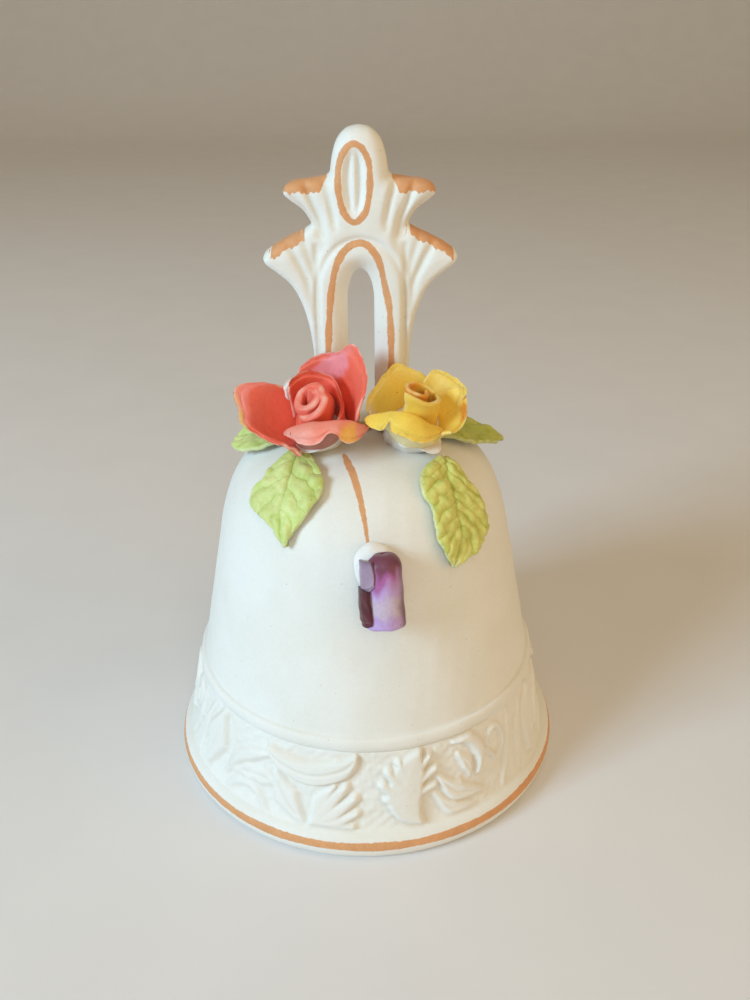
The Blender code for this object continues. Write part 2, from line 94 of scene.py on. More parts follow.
BISQUE = srgb(236, 238, 234)
SLIP = srgb(240, 240, 238)
TAN = srgb(218, 160, 110)
CORAL = srgb(246, 106, 82)
DEEP_CORAL = srgb(224, 72, 42)
PINK = srgb(250, 150, 138)
CREAM = srgb(244, 226, 160)
YELLOW = srgb(253, 220, 92)
DEEP_YELLOW = srgb(250, 206, 66)
PALE_YELLOW = srgb(253, 234, 142)
ORANGE = srgb(238, 150, 52)
LEAF_PALE = srgb(222, 236, 160)
LEAF_GREEN = srgb(190, 214, 108)
LEAF_DEEP = srgb(180, 192, 76)
LILAC = srgb(196, 160, 214)
MAUVE = srgb(124, 72, 96)
PURPLE = srgb(136, 82, 158)
MAROON = srgb(92, 26, 44)
GREY_LILAC = srgb(164, 140, 164)


def smoothstep(value):
    value = np.clip(value, 0.0, 1.0)
    return value * value * (3 - 2 * value)


def mix(first, second, part):
    part = np.asarray(part)[..., None]
    return first * (1 - part) + second * part


def bump_at(value, centre, width):
    return np.exp(-(((value - centre) / width) ** 2))


def wobble(points, size, seed):
    """Smooth noise of about -1..1 with features of the given size, as a sum of waves."""
    chance = np.random.RandomState(seed)
    total = np.zeros(points.shape[:-1])
    waves = 10
    for _ in range(waves):
        direction = chance.normal(size=points.shape[-1])
        direction *= 2 * math.pi / (size * np.linalg.norm(direction)) * chance.uniform(0.6, 1.5)
        total += np.sin(points @ direction + chance.uniform(0, 2 * math.pi))
    return total / math.sqrt(waves)


def through(points, count):
    """A smooth open curve through the points, as count rows."""
    points = np.array(points, float)
    rows = np.vstack((2 * points[0] - points[1], points, 2 * points[-1] - points[-2]))
    found = []
    for value in np.linspace(0, len(points) - 1, count):
        first = min(int(value), len(points) - 2)
        t = value - first
        a, b, c, d = rows[first : first + 4]
        found.append(
            0.5 * (2 * b + (c - a) * t + (2 * a - 5 * b + 4 * c - d) * t**2 + (3 * b - a - 3 * c + d) * t**3)
        )
    return np.array(found)


def along_line(points, line):
    """Distance of each point to a line of points, its place 0..1 along it, and its side of it."""
    best = np.full(points.shape[0], 1e9)
    place = np.zeros(points.shape[0])
    side = np.ones(points.shape[0])
    last = len(line) - 1
    for index in range(last):
        start, step = line[index], line[index + 1] - line[index]
        part = np.clip(((points - start) @ step) / max(step @ step, 1e-12), 0, 1)
        offset = points - (start + part[:, None] * step)
        distance = np.hypot(offset[:, 0], offset[:, 1])
        nearer = distance < best
        best = np.where(nearer, distance, best)
        place = np.where(nearer, (index + part) / last, place)
        cross = step[0] * offset[:, 1] - step[1] * offset[:, 0]
        side = np.where(nearer, np.where(cross >= 0, 1.0, -1.0), side)
    return best, place, side


# ---------------------------------------------------------------- meshes


def put(name, points, faces, body, slot, material, stands_for=(), **values):
    """A new smooth piece from points in mm, with per-point values for its material to read."""
    mesh = bpy.data.meshes.new(name)
    mesh.from_pydata((np.asarray(points) * MM).tolist(), [], [tuple(face) for face in faces])
    mesh.update()
    for key, value in values.items():
        value = np.asarray(value, np.float32)
        if value.ndim == 2:
            layer = mesh.attributes.new(key, "FLOAT_COLOR", "POINT")
            colour = np.ones((len(value), 4), np.float32)
            colour[:, :3] = value
            layer.data.foreach_set("color", colour.ravel())
        else:
            layer = mesh.attributes.new(key, "FLOAT", "POINT")
            layer.data.foreach_set("value", value)
    mesh.shade_smooth()
    obj = bpy.data.objects.new(name, mesh)
    bpy.context.scene.collection.objects.link(obj)
    mesh.materials.append(material)
    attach(obj, body)
    if stands_for:
        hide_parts(*stands_for)
    return obj


def quads(rows, columns, ring=False):
    """Faces of a grid numbered row by row; with ring, its last row joins its first."""
    index = np.arange(rows * columns).reshape(rows, columns)
    if ring:
        index = np.vstack((index, index[:1]))
    return np.stack((index[:-1, :-1], index[1:, :-1], index[1:, 1:], index[:-1, 1:]), -1).reshape(-1, 4)


def sheet(points, thickness):
    """A sheet's closed surface from its middle grid: both faces meet in one thin rounded edge.

    Returns the points, the faces, the grid index of each point and which face it is on.
    """
    rows, columns = points.shape[:2]
    along = np.gradient(points, axis=0)
    across = np.gradient(points, axis=1)
    normal = np.cross(along, across)
    normal /= np.maximum(np.linalg.norm(normal, axis=-1, keepdims=True), 1e-9)
    front = points + normal * thickness[..., None] / 2
    back = points - normal * thickness[..., None] / 2
    index = np.arange(rows * columns).reshape(rows, columns)
    other = index.copy()
    inner = index[1:-1, 1:-1]
    other[1:-1, 1:-1] = rows * columns + np.arange(inner.size).reshape(inner.shape)
    near = quads(rows, columns)
    far = other.ravel()[near][:, ::-1]
    edge = np.zeros((rows, columns))
    edge[1:-1, 1:-1] = 1.0
    all_points = np.vstack((front.reshape(-1, 3), back[1:-1, 1:-1].reshape(-1, 3)))
    where = np.concatenate((index.ravel(), inner.ravel()))
    face = np.concatenate((edge.ravel(), -np.ones(inner.size)))
    return all_points, np.vstack((near, far)), where, face


def edge_spaced(count, crowding=0.55):
    """Numbers 0..1, closer together at both ends."""
    even = np.linspace(0, 1, count)
    return even * (1 - crowding) + crowding * (1 - np.cos(math.pi * even)) / 2


def rounded(u, v, full, reach=0.12):
    """Thickness that falls off in a quarter round at all four edges of a 0..1 grid."""
    near = np.minimum(np.minimum(u, 1 - u) * 2, np.minimum(v, 1 - v) * 2) / reach
    return full * np.sqrt(np.clip(1 - (1 - np.clip(near, 0, 1)) ** 2, 0, 1))


# ---------------------------------------------------------------- materials


def node(tree, kind, **settings):
    made = tree.nodes.new(kind)
    for key, value in settings.items():
        if hasattr(made, key):
            setattr(made, key, value)
        else:
            made.inputs[key].default_value = value
    return made


def attribute(tree, name):
    return node(tree, "ShaderNodeAttribute", attribute_name=name)


def math_node(tree, operation, *values):
    made = node(tree, "ShaderNodeMath", operation=operation)
    for socket, value in zip(made.inputs, values):
        if isinstance(value, (int, float)):
            socket.default_value = value
        else:
            tree.links.new(value, socket)
    return made.outputs[0]


def ramp(tree, value, low, high):
    """value mapped so that low gives 0 and high gives 1, smoothly."""
    made = node(tree, "ShaderNodeMapRange", interpolation_type="SMOOTHSTEP")
    tree.links.new(value, made.inputs["Value"])
    made.inputs["From Min"].default_value = low
    made.inputs["From Max"].default_value = high
    return made.outputs["Result"]


def mix_colour(tree, part, first, second, blend="MIX"):
    made = node(tree, "ShaderNodeMix", data_type="RGBA", blend_type=blend)
    for socket, value in ((made.inputs["Factor"], part), (made.inputs[6], first), (made.inputs[7], second)):
        if isinstance(value, bpy.types.NodeSocket):
            tree.links.new(value, socket)
        elif isinstance(value, (int, float)):
            socket.default_value = value
        else:
            socket.default_value = (*value, 1.0)
    return made.outputs[2]


def noise(tree, coordinates, scale, detail=3.0, rough=0.5):
    made = node(tree, "ShaderNodeTexNoise")
    made.inputs["Scale"].default_value = scale
    made.inputs["Detail"].default_value = detail
    made.inputs["Roughness"].default_value = rough
    tree.links.new(coordinates, made.inputs["Vector"])
    return made.outputs["Fac"]


def bisque_material(name, roughness=0.62, grain=0.012, mottle=0.05, specks=0.5, brushed=0.45, depth=0.1):
    """Matte fired porcelain that takes its colour from the point colour 'tint' and its paint from 'tan'."""
    made = bpy.data.materials.new(name)
    made.use_nodes = True
    tree = made.node_tree
    shader = tree.nodes["Principled BSDF"]
    place = node(tree, "ShaderNodeTexCoord").outputs["Object"]
    millimetres = node(tree, "ShaderNodeVectorMath", operation="SCALE")
    tree.links.new(place, millimetres.inputs[0])
    millimetres.inputs["Scale"].default_value = 1000.0
    place = millimetres.outputs[0]
    tint = attribute(tree, "tint").outputs["Color"]
    tan = attribute(tree, "tan").outputs["Fac"]
    ragged = math_node(tree, "SUBTRACT", noise(tree, place, 0.9, 3.0, 0.6), 0.5)
    edge = math_node(tree, "MULTIPLY_ADD", ragged, brushed, tan)
    covered = ramp(tree, edge, -0.06, 0.1)
    worn = ramp(tree, noise(tree, place, 2.6, 5.0, 0.75), 0.22, 0.5)
    covered = math_node(tree, "MULTIPLY", covered, math_node(tree, "MULTIPLY_ADD", worn, 0.3, 0.7))
    shade = mix_colour(tree, noise(tree, place, 0.5, 3.0), TAN * 0.86, TAN * 1.16)
    colour = mix_colour(tree, covered, tint, shade)
    broad = ramp(tree, noise(tree, place, 0.09, 2.0), 0.3, 0.7)
    warmer = (1 - mottle, 1 - 1.2 * mottle, 1 - 1.8 * mottle)
    colour = mix_colour(tree, broad, colour, mix_colour(tree, 1.0, colour, warmer, "MULTIPLY"))
    fine = ramp(tree, noise(tree, place, 1.7, 4.0, 0.6), 0.35, 0.7)
    colour = mix_colour(tree, fine, colour, mix_colour(tree, 1.0, colour, (1 - 0.7 * mottle,) * 3, "MULTIPLY"))
    cells = node(tree, "ShaderNodeTexVoronoi", feature="F1")
    cells.inputs["Scale"].default_value = 0.55
    tree.links.new(place, cells.inputs["Vector"])
    dot = ramp(tree, cells.outputs["Distance"], 0.085, 0.05)
    rare = ramp(tree, noise(tree, place, 0.8, 1.0), 0.54, 0.6)
    dots = math_node(tree, "MULTIPLY", math_node(tree, "MULTIPLY", dot, rare), specks)
    colour = mix_colour(tree, dots, colour, srgb(120, 84, 58))
    tree.links.new(colour, shader.inputs["Base Color"])
    rough = node(tree, "ShaderNodeMapRange")
    tree.links.new(fine, rough.inputs["Value"])
    rough.inputs["To Min"].default_value = roughness - depth / 2
    rough.inputs["To Max"].default_value = roughness + depth / 2
    tree.links.new(rough.outputs["Result"], shader.inputs["Roughness"])
    shader.inputs["Specular IOR Level"].default_value = 0.35
    shader.inputs["Sheen Weight"].default_value = 0.08
    heights = math_node(
        tree, "MULTIPLY_ADD", noise(tree, place, 0.7, 2.0), 1.6, noise(tree, place, 3.2, 5.0, 0.65)
    )
    bump = node(tree, "ShaderNodeBump")
    bump.inputs["Strength"].default_value = 0.5
    bump.inputs["Distance"].default_value = grain * MM * 4
    tree.links.new(heights, bump.inputs["Height"])
    tree.links.new(bump.outputs["Normal"], shader.inputs["Normal"])
    return made


def brass_material():
    made = bpy.data.materials.new("drawn_brass")
    made.use_nodes = True
    tree = made.node_tree
    shader = tree.nodes["Principled BSDF"]
    place = node(tree, "ShaderNodeTexCoord").outputs["Object"]
    tarnish = ramp(tree, noise(tree, place, 420.0, 4.0, 0.6), 0.35, 0.7)
    colour = mix_colour(tree, tarnish, srgb(214, 178, 108), srgb(142, 104, 58))
    tree.links.new(colour, shader.inputs["Base Color"])
    rough = node(tree, "ShaderNodeMapRange")
    tree.links.new(tarnish, rough.inputs["Value"])
    rough.inputs["To Min"].default_value = 0.26
    rough.inputs["To Max"].default_value = 0.5
    tree.links.new(rough.outputs["Result"], shader.inputs["Roughness"])
    shader.inputs["Metallic"].default_value = 1.0
    bump = node(tree, "ShaderNodeBump")
    bump.inputs["Strength"].default_value = 0.25
    bump.inputs["Distance"].default_value = 0.00003
    tree.links.new(noise(tree, place, 2600.0, 3.0), bump.inputs["Height"])
    tree.links.new(bump.outputs["Normal"], shader.inputs["Normal"])
    return made


BODY = bisque_material("bisque", roughness=0.66, mottle=0.035, specks=0.35)
SLIP_FINISH = bisque_material("slip", roughness=0.7, grain=0.03, mottle=0.05, specks=0.5)
PETAL_FINISH = bisque_material("painted_petal", roughness=0.5, grain=0.014, mottle=0.09, specks=0.8)
LEAF_FINISH = bisque_material("painted_leaf", roughness=0.55, grain=0.02, mottle=0.12, specks=1.0)
BUD_FINISH = bisque_material("painted_bud", roughness=0.36, grain=0.02, mottle=0.16, specks=0.8)
BRASS = brass_material()


# ---------------------------------------------------------------- cup


def wall_radius(height):
    slope = (BAND_TOP_RADIUS - 0.5 - WALL_TOP_RADIUS) / (WALL_TOP - BAND_TOP - BEAD_HEIGHT)
    line = WALL_TOP_RADIUS + (WALL_TOP - height) * slope
    rise = np.clip((height - WALL_TOP) / (CROWN_TOP - WALL_TOP), 0, 1)
    return line * (1 - rise**SHOULDER_POWER) ** (1 / SHOULDER_POWER)


def band_radius(height):
    part = np.clip((BAND_TOP - height) / (BAND_TOP - BAND_FOOT), 0, 1)
    return BAND_TOP_RADIUS + (BAND_FOOT_RADIUS - BAND_TOP_RADIUS) * (0.8 * part + 0.2 * part**2)


def outside():
    """(radius, height) rows from the pin hole down to the foot."""
    angle = np.linspace(0, math.pi / 2, 70)[1:]
    bend = 2 / SHOULDER_POWER
    crown = np.stack(
        (WALL_TOP_RADIUS * np.sin(angle) ** bend, WALL_TOP + (CROWN_TOP - WALL_TOP) * np.cos(angle) ** bend), 1
    )
    crown[:, 0] = wall_radius(crown[:, 1])
    crown = crown[crown[:, 0] > PIN_HOLE + 0.2]
    bead_top = BAND_TOP + BEAD_HEIGHT
    heights = np.linspace(WALL_TOP, bead_top, 40)[1:]
    wall = np.stack((wall_radius(heights), heights), 1)
    turn = np.radians(np.linspace(84, -84, 15))
    middle = BAND_TOP + BEAD_HEIGHT / 2
    bead = np.stack(
        (BAND_TOP_RADIUS - 0.3 + BEAD_PROUD * np.cos(turn), middle + BEAD_HEIGHT / 2 * np.sin(turn)), 1
    )
    heights = np.linspace(BAND_TOP - 0.1, BAND_FOOT, 66)
    band = np.stack((band_radius(heights), heights), 1)
    turn = np.radians(np.linspace(75, -90, 26))
    lip = np.stack(
        (LIP_RADIUS - LIP_ROLL[0] + LIP_ROLL[0] * np.cos(turn), LIP_ROLL[1] + LIP_ROLL[1] * np.sin(turn)), 1
    )
    cove = through((band[-1], (BAND_FOOT_RADIUS + 0.5, LIP_TOP + 0.1), lip[0]), 8)[1:-1]
    return np.vstack(([[PIN_HOLE, CROWN_TOP]], crown, wall, bead, band, cove, lip))


def inside():
    foot = WALL_TOP_RADIUS - WALL
    rows = [(39.0, 0.0), (37.4, 0.0), (36.8, 0.6)]
    for height in np.linspace(8.0, BAND_TOP, 5):
        rows.append((BAND_TOP_RADIUS + (BAND_FOOT_RADIUS - BAND_TOP_RADIUS) * (BAND_TOP - height) / BAND_TOP - WALL, height))
    for height in np.linspace(BAND_TOP + 3, WALL_TOP, 8):
        rows.append((wall_radius(height) - WALL, height))
    for angle in np.linspace(0, math.pi / 2, 22)[1:-1]:
        bend = 2 / SHOULDER_POWER
        rise = (CROWN_TOP - WALL - WALL_TOP) * math.sin(angle) ** bend
        rows.append((max(foot * math.cos(angle) ** bend, PIN_HOLE), WALL_TOP + rise))
    rows.append((PIN_HOLE, CROWN_TOP - WALL))
    return np.array(rows)


BAND_SCALE = math.radians(36.0)

# Leaves and scrolls of the band: points (degrees round from the front, height in mm), half widths in mm,
# height in mm, ribs across and how far they slant, and the depth of the groove along the middle.
SCROLLS = (
    (((-53, 20.0), (-55.5, 14.5), (-58.5, 8.3)), (1.2, 3.9, 1.6), 0.95, 0, 0, 0.15),
    (((-48.5, 8.8), (-44.5, 13.2), (-38.9, 15.6), (-32.5, 17.4)), (0.5, 1.3, 1.5, 0.8), 0.6, 0, 0, 0.0),
    (((-47, 5.9), (-44.5, 8.0), (-39.5, 9.6), (-35, 8.8), (-31, 5.9)), (0.5, 1.0, 1.2, 1.0, 0.6), 0.55, 0, 0, 0.0),
    (((-46, 10.6), (-37, 12.3), (-27, 12.4)), (0.7, 2.3, 1.0), 0.5, 3, 0.8, 0.2),
    (((-29, 14.6), (-25, 10.5), (-18.8, 5.9)), (1.0, 2.9, 0.7), 0.75, 0, 0, 0.25),
    (((-34, 20.2), (-26.5, 17.4), (-17, 16.5), (-8, 18.2), (-3.2, 20.9)), (0.6, 2.2, 2.7, 2.4, 0.9), 1.25, 0, 0, 0.3),
    (((-16.6, 6.4), (-14.0, 11.2), (-9.9, 14.8)), (0.9, 1.8, 0.9), 1.0, 0, 0, 0.0),
    (((-16.4, 6.4), (-12.3, 10.4), (-6.6, 14.8)), (0.9, 1.9, 1.1), 1.05, 0, 0, 0.0),
    (((-16.2, 6.4), (-10.4, 9.0), (-4.0, 12.4)), (0.9, 1.8, 1.1), 1.05, 0, 0, 0.0),
    (((-16.0, 6.4), (-9.5, 7.4), (-3.4, 9.4)), (0.9, 1.6, 1.0), 0.95, 0, 0, 0.0),
    (((-15.6, 6.0), (-10.0, 6.0), (-4.5, 6.7)), (0.7, 1.1, 1.0), 0.9, 0, 0, 0.0),
    (((15.6, 21.2), (12.6, 17.5), (10.6, 12.5), (12.0, 8.8), (15.8, 6.0)), (1.0, 3.4, 3.8, 2.7, 0.4), 1.25, 0, 0, 0.0),
    (((12.5, 14.0), (9.4, 19.4)), (2.0, 1.1), 1.25, 0, 0, 0.0),
    (((12.0, 12.5), (6.2, 17.6)), (2.0, 1.2), 1.25, 0, 0, 0.0),
    (((11.5, 11.0), (4.4, 15.0)), (1.9, 1.2), 1.2, 0, 0, 0.0),
    (((11.5, 9.8), (5.4, 12.0)), (1.6, 1.0), 1.1, 0, 0, 0.0),
    (((13.5, 16.6), (18.6, 19.6)), (1.7, 1.1), 1.1, 0, 0, 0.0),
    (((13.5, 14.6), (20.6, 16.8)), (1.7, 1.0), 1.05, 0, 0, 0.0),
    (((13.5, 12.6), (20.0, 13.4)), (1.5, 0.9), 1.0, 0, 0, 0.0),
    (((21.5, 14.6), (27.0, 10.6), (35.5, 8.6)), (0.7, 2.4, 0.8), 0.9, 0, 0, 0.25),
    (((20.0, 11.2), (25.0, 7.6), (32.5, 6.2)), (0.6, 1.8, 0.7), 0.8, 0, 0, 0.2),
    (((27.5, 20.6), (33.0, 20.2), (36.8, 16.6), (35.2, 12.4)), (0.6, 1.5, 1.7, 0.7), 1.05, 0, 0, 0.0),
    (((29.0, 17.6), (31.5, 15.0), (32.5, 12.4)), (0.8, 1.6, 0.6), 0.8, 0, 0, 0.2),
    (((40.2, 16.6), (42.6, 19.2), (46.4, 18.6), (47.2, 15.2), (43.8, 12.8), (40.6, 15.0)), (0.6, 0.8, 0.8, 0.8, 0.8, 0.6), 0.75, 0, 0, 0.0),
    (((52.0, 20.4), (49.5, 13.6), (44.2, 5.9)), (0.5, 1.3, 0.5), 0.75, 0, 0, 0.2),
    (((60.0, 19.8), (56.0, 14.0), (53.5, 6.6)), (0.5, 1.4, 0.6), 0.8, 0, 0, 0.2),
)
REPEAT = 120


def band_relief(angle, height):
    """Height in mm of the moulded leaves over the band's ground."""
    wrapped = (angle + 60) % REPEAT - 60
    total = np.zeros(angle.shape)
    for points, widths, tall, ribs, slant, groove in SCROLLS:
        line = through(points, 18)
        line[:, 0] *= BAND_SCALE
        for turn in (-REPEAT, 0, REPEAT):
            spot = np.stack(((wrapped + turn) * BAND_SCALE, height), 1)
            close = (np.abs(spot[:, 0] - line[:, 0].mean()) < 9) & (height < BAND_TOP + 1)
            if not close.any():
                continue
            distance, place, side = along_line(spot[close], line)
            half = np.interp(place, np.linspace(0, 1, len(widths)), widths)
            if ribs:
                half = half * (1 + 0.16 * np.cos(2 * math.pi * ribs * place))
            depth = half - distance
            shape = smoothstep(depth / 1.25 + 0.2)
            raised = 1.15 * tall * shape * (0.78 + 0.22 * np.sqrt(np.clip(depth / np.maximum(half, 0.1), 0, 1)))
            raised -= groove * bump_at(distance, 0, 0.35) * shape
            if ribs:
                wave = np.cos(2 * math.pi * (ribs * place - slant * distance / np.maximum(half, 0.3)))
                raised -= 0.13 * shape * (0.5 + 0.5 * wave)
            total[close] = np.maximum(total[close], raised)
    return total


def make_shell():
    outer = outside()
    inner = inside()
    profile = np.vstack((outer, inner[1:]))
    rows = len(profile)
    tangent = np.gradient(profile, axis=0)
    out = np.stack((-tangent[:, 1], tangent[:, 0]), 1)
    out /= np.linalg.norm(out, axis=1, keepdims=True)
    angle = np.linspace(-180, 180, TURN_STEPS, endpoint=False)
    turn, height = np.meshgrid(angle, profile[:, 1], indexing="ij")
    is_outer = np.broadcast_to(np.arange(rows) < len(outer), turn.shape)
    on_band = is_outer & (height < BAND_TOP) & (height > LIP_TOP - 0.8)
    relief = np.zeros(turn.shape)
    relief[on_band] = band_relief(turn[on_band], height[on_band])
    fade = smoothstep((BAND_TOP + 0.2 - height) / 0.8) * smoothstep((height - LIP_TOP + 0.6) / 0.9)
    relief *= fade
    radius = np.broadcast_to(profile[:, 0], turn.shape)
    theta = np.radians(turn)
    flat = np.stack((radius * np.sin(theta), -radius * np.cos(theta), height), -1)
    pebble = wobble(flat, 1.5, 3) * 0.05 + wobble(flat, 3.2, 4) * 0.06
    lift = relief + np.where(on_band, fade * pebble * (1 - 0.8 * smoothstep(relief / 0.4)), 0)
    plain = is_outer & ~on_band & (height > LIP_TOP)
    lift = lift + np.where(plain, 0.05 * wobble(flat, 14, 5) + 0.02 * wobble(flat, 5, 6), 0)
    lift = lift * (radius > PIN_HOLE + 2)
    radius = radius + lift * out[:, 0]
    height = height + lift * out[:, 1]
    points = np.stack((radius * np.sin(theta), -radius * np.cos(theta), height), -1)
    # Painted shade: the band's ground is tinted warm brown where it lies lower than the raised leaves around it.
    low = np.zeros(turn.shape)
    around = (np.roll(relief, 3, 0) + np.roll(relief, -3, 0) + np.roll(relief, 3, 1) + np.roll(relief, -3, 1)) / 4
    low[on_band] = np.clip(around - relief, 0, 1)[on_band]
    tint = np.broadcast_to(BISQUE, (*turn.shape, 3)).copy()
    tint = mix(tint, srgb(196, 166, 122), 0.45 * np.clip(low * 1.6, 0, 1))
    tan = 0.78 - np.abs(height - 3.75) + 0.06 * wobble(flat, 12, 7)
    tan = np.where(is_outer & (height < LIP_TOP), tan, -2.0)
    stem = stem_mask(points)
    tan = np.where(is_outer & (height > 50), np.maximum(tan, stem), tan)
    faces = quads(TURN_STEPS, rows, ring=True)
    closing = np.arange(TURN_STEPS) * rows
    following = np.roll(closing, -1)
    hole = np.stack((closing, closing + rows - 1, following + rows - 1, following), -1)
    put(
        "bell_cup", points.reshape(-1, 3), np.vstack((faces, hole)), "bell", "bisque", BODY,
        ["bell_shell"], tint=tint.reshape(-1, 3), tan=tan.ravel(),
    )  # fmt: skip


STEM_START = (-3.6, -11.0)
STEM_END = (0.9, -27.4)


def stem_mask(points):
    """A brush stroke from under the red rose down to the bud: mm inside its edge."""
    place = (points[..., 1] - STEM_START[1]) / (STEM_END[1] - STEM_START[1])
    centre = STEM_START[0] + (STEM_END[0] - STEM_START[0]) * place + 0.12 * np.sin(math.pi * np.clip(place, 0, 1))
    half = np.interp(place, (-0.02, 0.02, 0.15, 0.3, 0.7, 0.93, 1.0), (0.0, 0.4, 0.7, 0.75, 0.52, 0.28, 0.0))
    ends = np.minimum(place, 1.0 - place) * 17
    return np.minimum(half - np.abs(points[..., 0] - centre), ends)


# ---------------------------------------------------------------- handle

# Right half of the outline in mm, in runs that meet in corners.
OUTLINE = (
    ((0.0, 126.0), (2.0, 125.5), (3.6, 123.9), (4.5, 121.4), (5.0, 118.2)),
    ((5.0, 118.2), (7.8, 117.7), (10.9, 117.3), (12.6, 116.4), (12.9, 115.3), (11.8, 114.2), (9.9, 112.8), (8.6, 111.0), (8.2, 110.0)),
    ((8.2, 110.0), (9.8, 109.1), (12.6, 107.8), (15.2, 106.3), (16.9, 104.8), (16.5, 103.4), (14.6, 101.9), (12.3, 99.8), (10.7, 96.9), (9.6, 93.3), (8.9, 89.0), (8.6, 84.0), (8.8, 78.0), (9.5, 72.1)),
)
# Hollows between the flutes, in mm: points, depth and half width.
FLUTES = (
    (((9.6, 118.4), (8.2, 114.4), (6.9, 111.2), (6.4, 108.6)), 1.0, 0.5),
    (((12.6, 116.0), (9.6, 113.2), (7.8, 110.4), (7.2, 108.4)), 0.6, 0.5),
    (((6.2, 118.6), (5.2, 114.8), (4.6, 111.6), (4.4, 109.8)), 0.95, 0.6),
    (((10.6, 109.6), (9.2, 105.6), (8.2, 101.2), (7.9, 96.0)), 0.45, 0.6),
    (((13.2, 108.4), (10.9, 104.2), (9.0, 99.6), (8.3, 94.0)), 0.75, 0.6),
    (((7.7, 107.0), (7.7, 98.0), (7.8, 88.0), (8.0, 78.0), (8.4, 72.0)), 0.75, 0.42),
)
# Painted lines on the handle's face, in mm: the loop round the oval panel and the one over the opening.
OVAL = ((-0.8, 123.5), (-2.3, 122.5), (-3.3, 120.2), (-3.6, 117.4), (-3.3, 114.6), (-2.5, 112.2), (-0.95, 110.9), (0.7, 112.2), (1.5, 114.6), (1.75, 117.4), (1.65, 120.2), (0.7, 122.5))
OVAL_LINE = 0.55
ARCH = ((-6.2, 76), (-6.1, 84), (-5.95, 90), (-5.6, 95), (-5.1, 99.7), (-4.1, 103.8), (-2.3, 106.6), (0, 107.5), (1.9, 106.5), (3.2, 104.2), (4.3, 99.7), (5.1, 94.8), (5.3, 88), (5.4, 82), (5.6, 76))
ARCH_LINE = 0.6


def closed_curve(points, count):
    points = list(points)
    curve = through(points[-3:] + points + points[:4], count * 2)
    share = np.linspace(0, len(points) + 6, count * 2)
    keep = (share >= 3) & (share <= len(points) + 3)
    return curve[keep]


def inside_polygon(points, polygon):
    x, z = points[:, 0], points[:, 1]
    found = np.zeros(len(points), bool)
    for (ax, az), (bx, bz) in zip(polygon, np.roll(polygon, -1, 0)):
        crosses = (az > z) != (bz > z)
        found ^= crosses & (x < (bx - ax) * (z - az) / (bz - az if bz != az else 1e-9) + ax)
    return found


def handle_curves():
    right = np.vstack([through(run, 7 * len(run))[:-1] for run in OUTLINE] + [[OUTLINE[-1][-1]]])
    right[:, 1] = np.minimum(right[:, 1], 126.0)
    left = right[::-1] * (-1, 1)
    turn = np.radians(np.linspace(180, 0, 25))
    arch = np.stack((OPENING_HALF * np.cos(turn), LOOKS_OPENING_TOP - OPENING_RISE + OPENING_RISE * np.sin(turn)), 1)
    opening = np.vstack(([[-OPENING_HALF, 72.1]], arch, [[OPENING_HALF, 72.1]]))
    return np.vstack((left[:-1], right)), opening


def remeshed_slab(outline, opening, half, voxel):
    """Points (mm) and faces of an even quad mesh round a slab with the two outlines, open at the foot."""
    curve = bpy.data.curves.new("slab", "CURVE")
    curve.dimensions = "2D"
    curve.fill_mode = "BOTH"
    curve.extrude = half
    spline = curve.splines.new("POLY")
    ring = np.vstack((outline, opening[::-1]))
    spline.points.add(len(ring) - 1)
    for point, (x, z) in zip(spline.points, ring):
        point.co = (x, z, 0.0, 1.0)
    spline.use_cyclic_u = True
    obj = bpy.data.objects.new("slab", curve)
    bpy.context.scene.collection.objects.link(obj)
    bpy.context.view_layer.update()
    mesh = bpy.data.meshes.new_from_object(obj.evaluated_get(bpy.context.evaluated_depsgraph_get()))
    bpy.data.objects.remove(obj)
    shape = bmesh.new()
    shape.from_mesh(mesh)
    bmesh.ops.remove_doubles(shape, verts=shape.verts, dist=0.001)
    bmesh.ops.recalc_face_normals(shape, faces=shape.faces)
    shape.to_mesh(mesh)
    shape.free()
    obj = bpy.data.objects.new("slab", mesh)
    bpy.context.scene.collection.objects.link(obj)
    remesh = obj.modifiers.new("even", "REMESH")
    remesh.mode = "VOXEL"
    remesh.voxel_size = voxel
    bpy.context.view_layer.update()
    made = bpy.data.meshes.new_from_object(obj.evaluated_get(bpy.context.evaluated_depsgraph_get()))
    bpy.data.objects.remove(obj)
    flat = np.zeros(len(made.vertices) * 3)
    made.vertices.foreach_get("co", flat)
    flat = flat.reshape(-1, 3)
    return np.stack((flat[:, 0], -flat[:, 2], flat[:, 1]), 1), [tuple(face.vertices) for face in made.polygons], made


def relax(points, edges, rounds, amount=0.5):
    """Evens out the points by moving each towards the middle of its neighbours."""
    count = np.bincount(edges.ravel(), minlength=len(points))[:, None]
    for _ in range(rounds):
        total = np.zeros_like(points)
        for axis in range(3):
            total[:, axis] = np.bincount(
                edges[:, 0], points[edges[:, 1], axis], len(points)
            ) + np.bincount(edges[:, 1], points[edges[:, 0], axis], len(points))
        points = points + (total / count - points) * amount
    return points


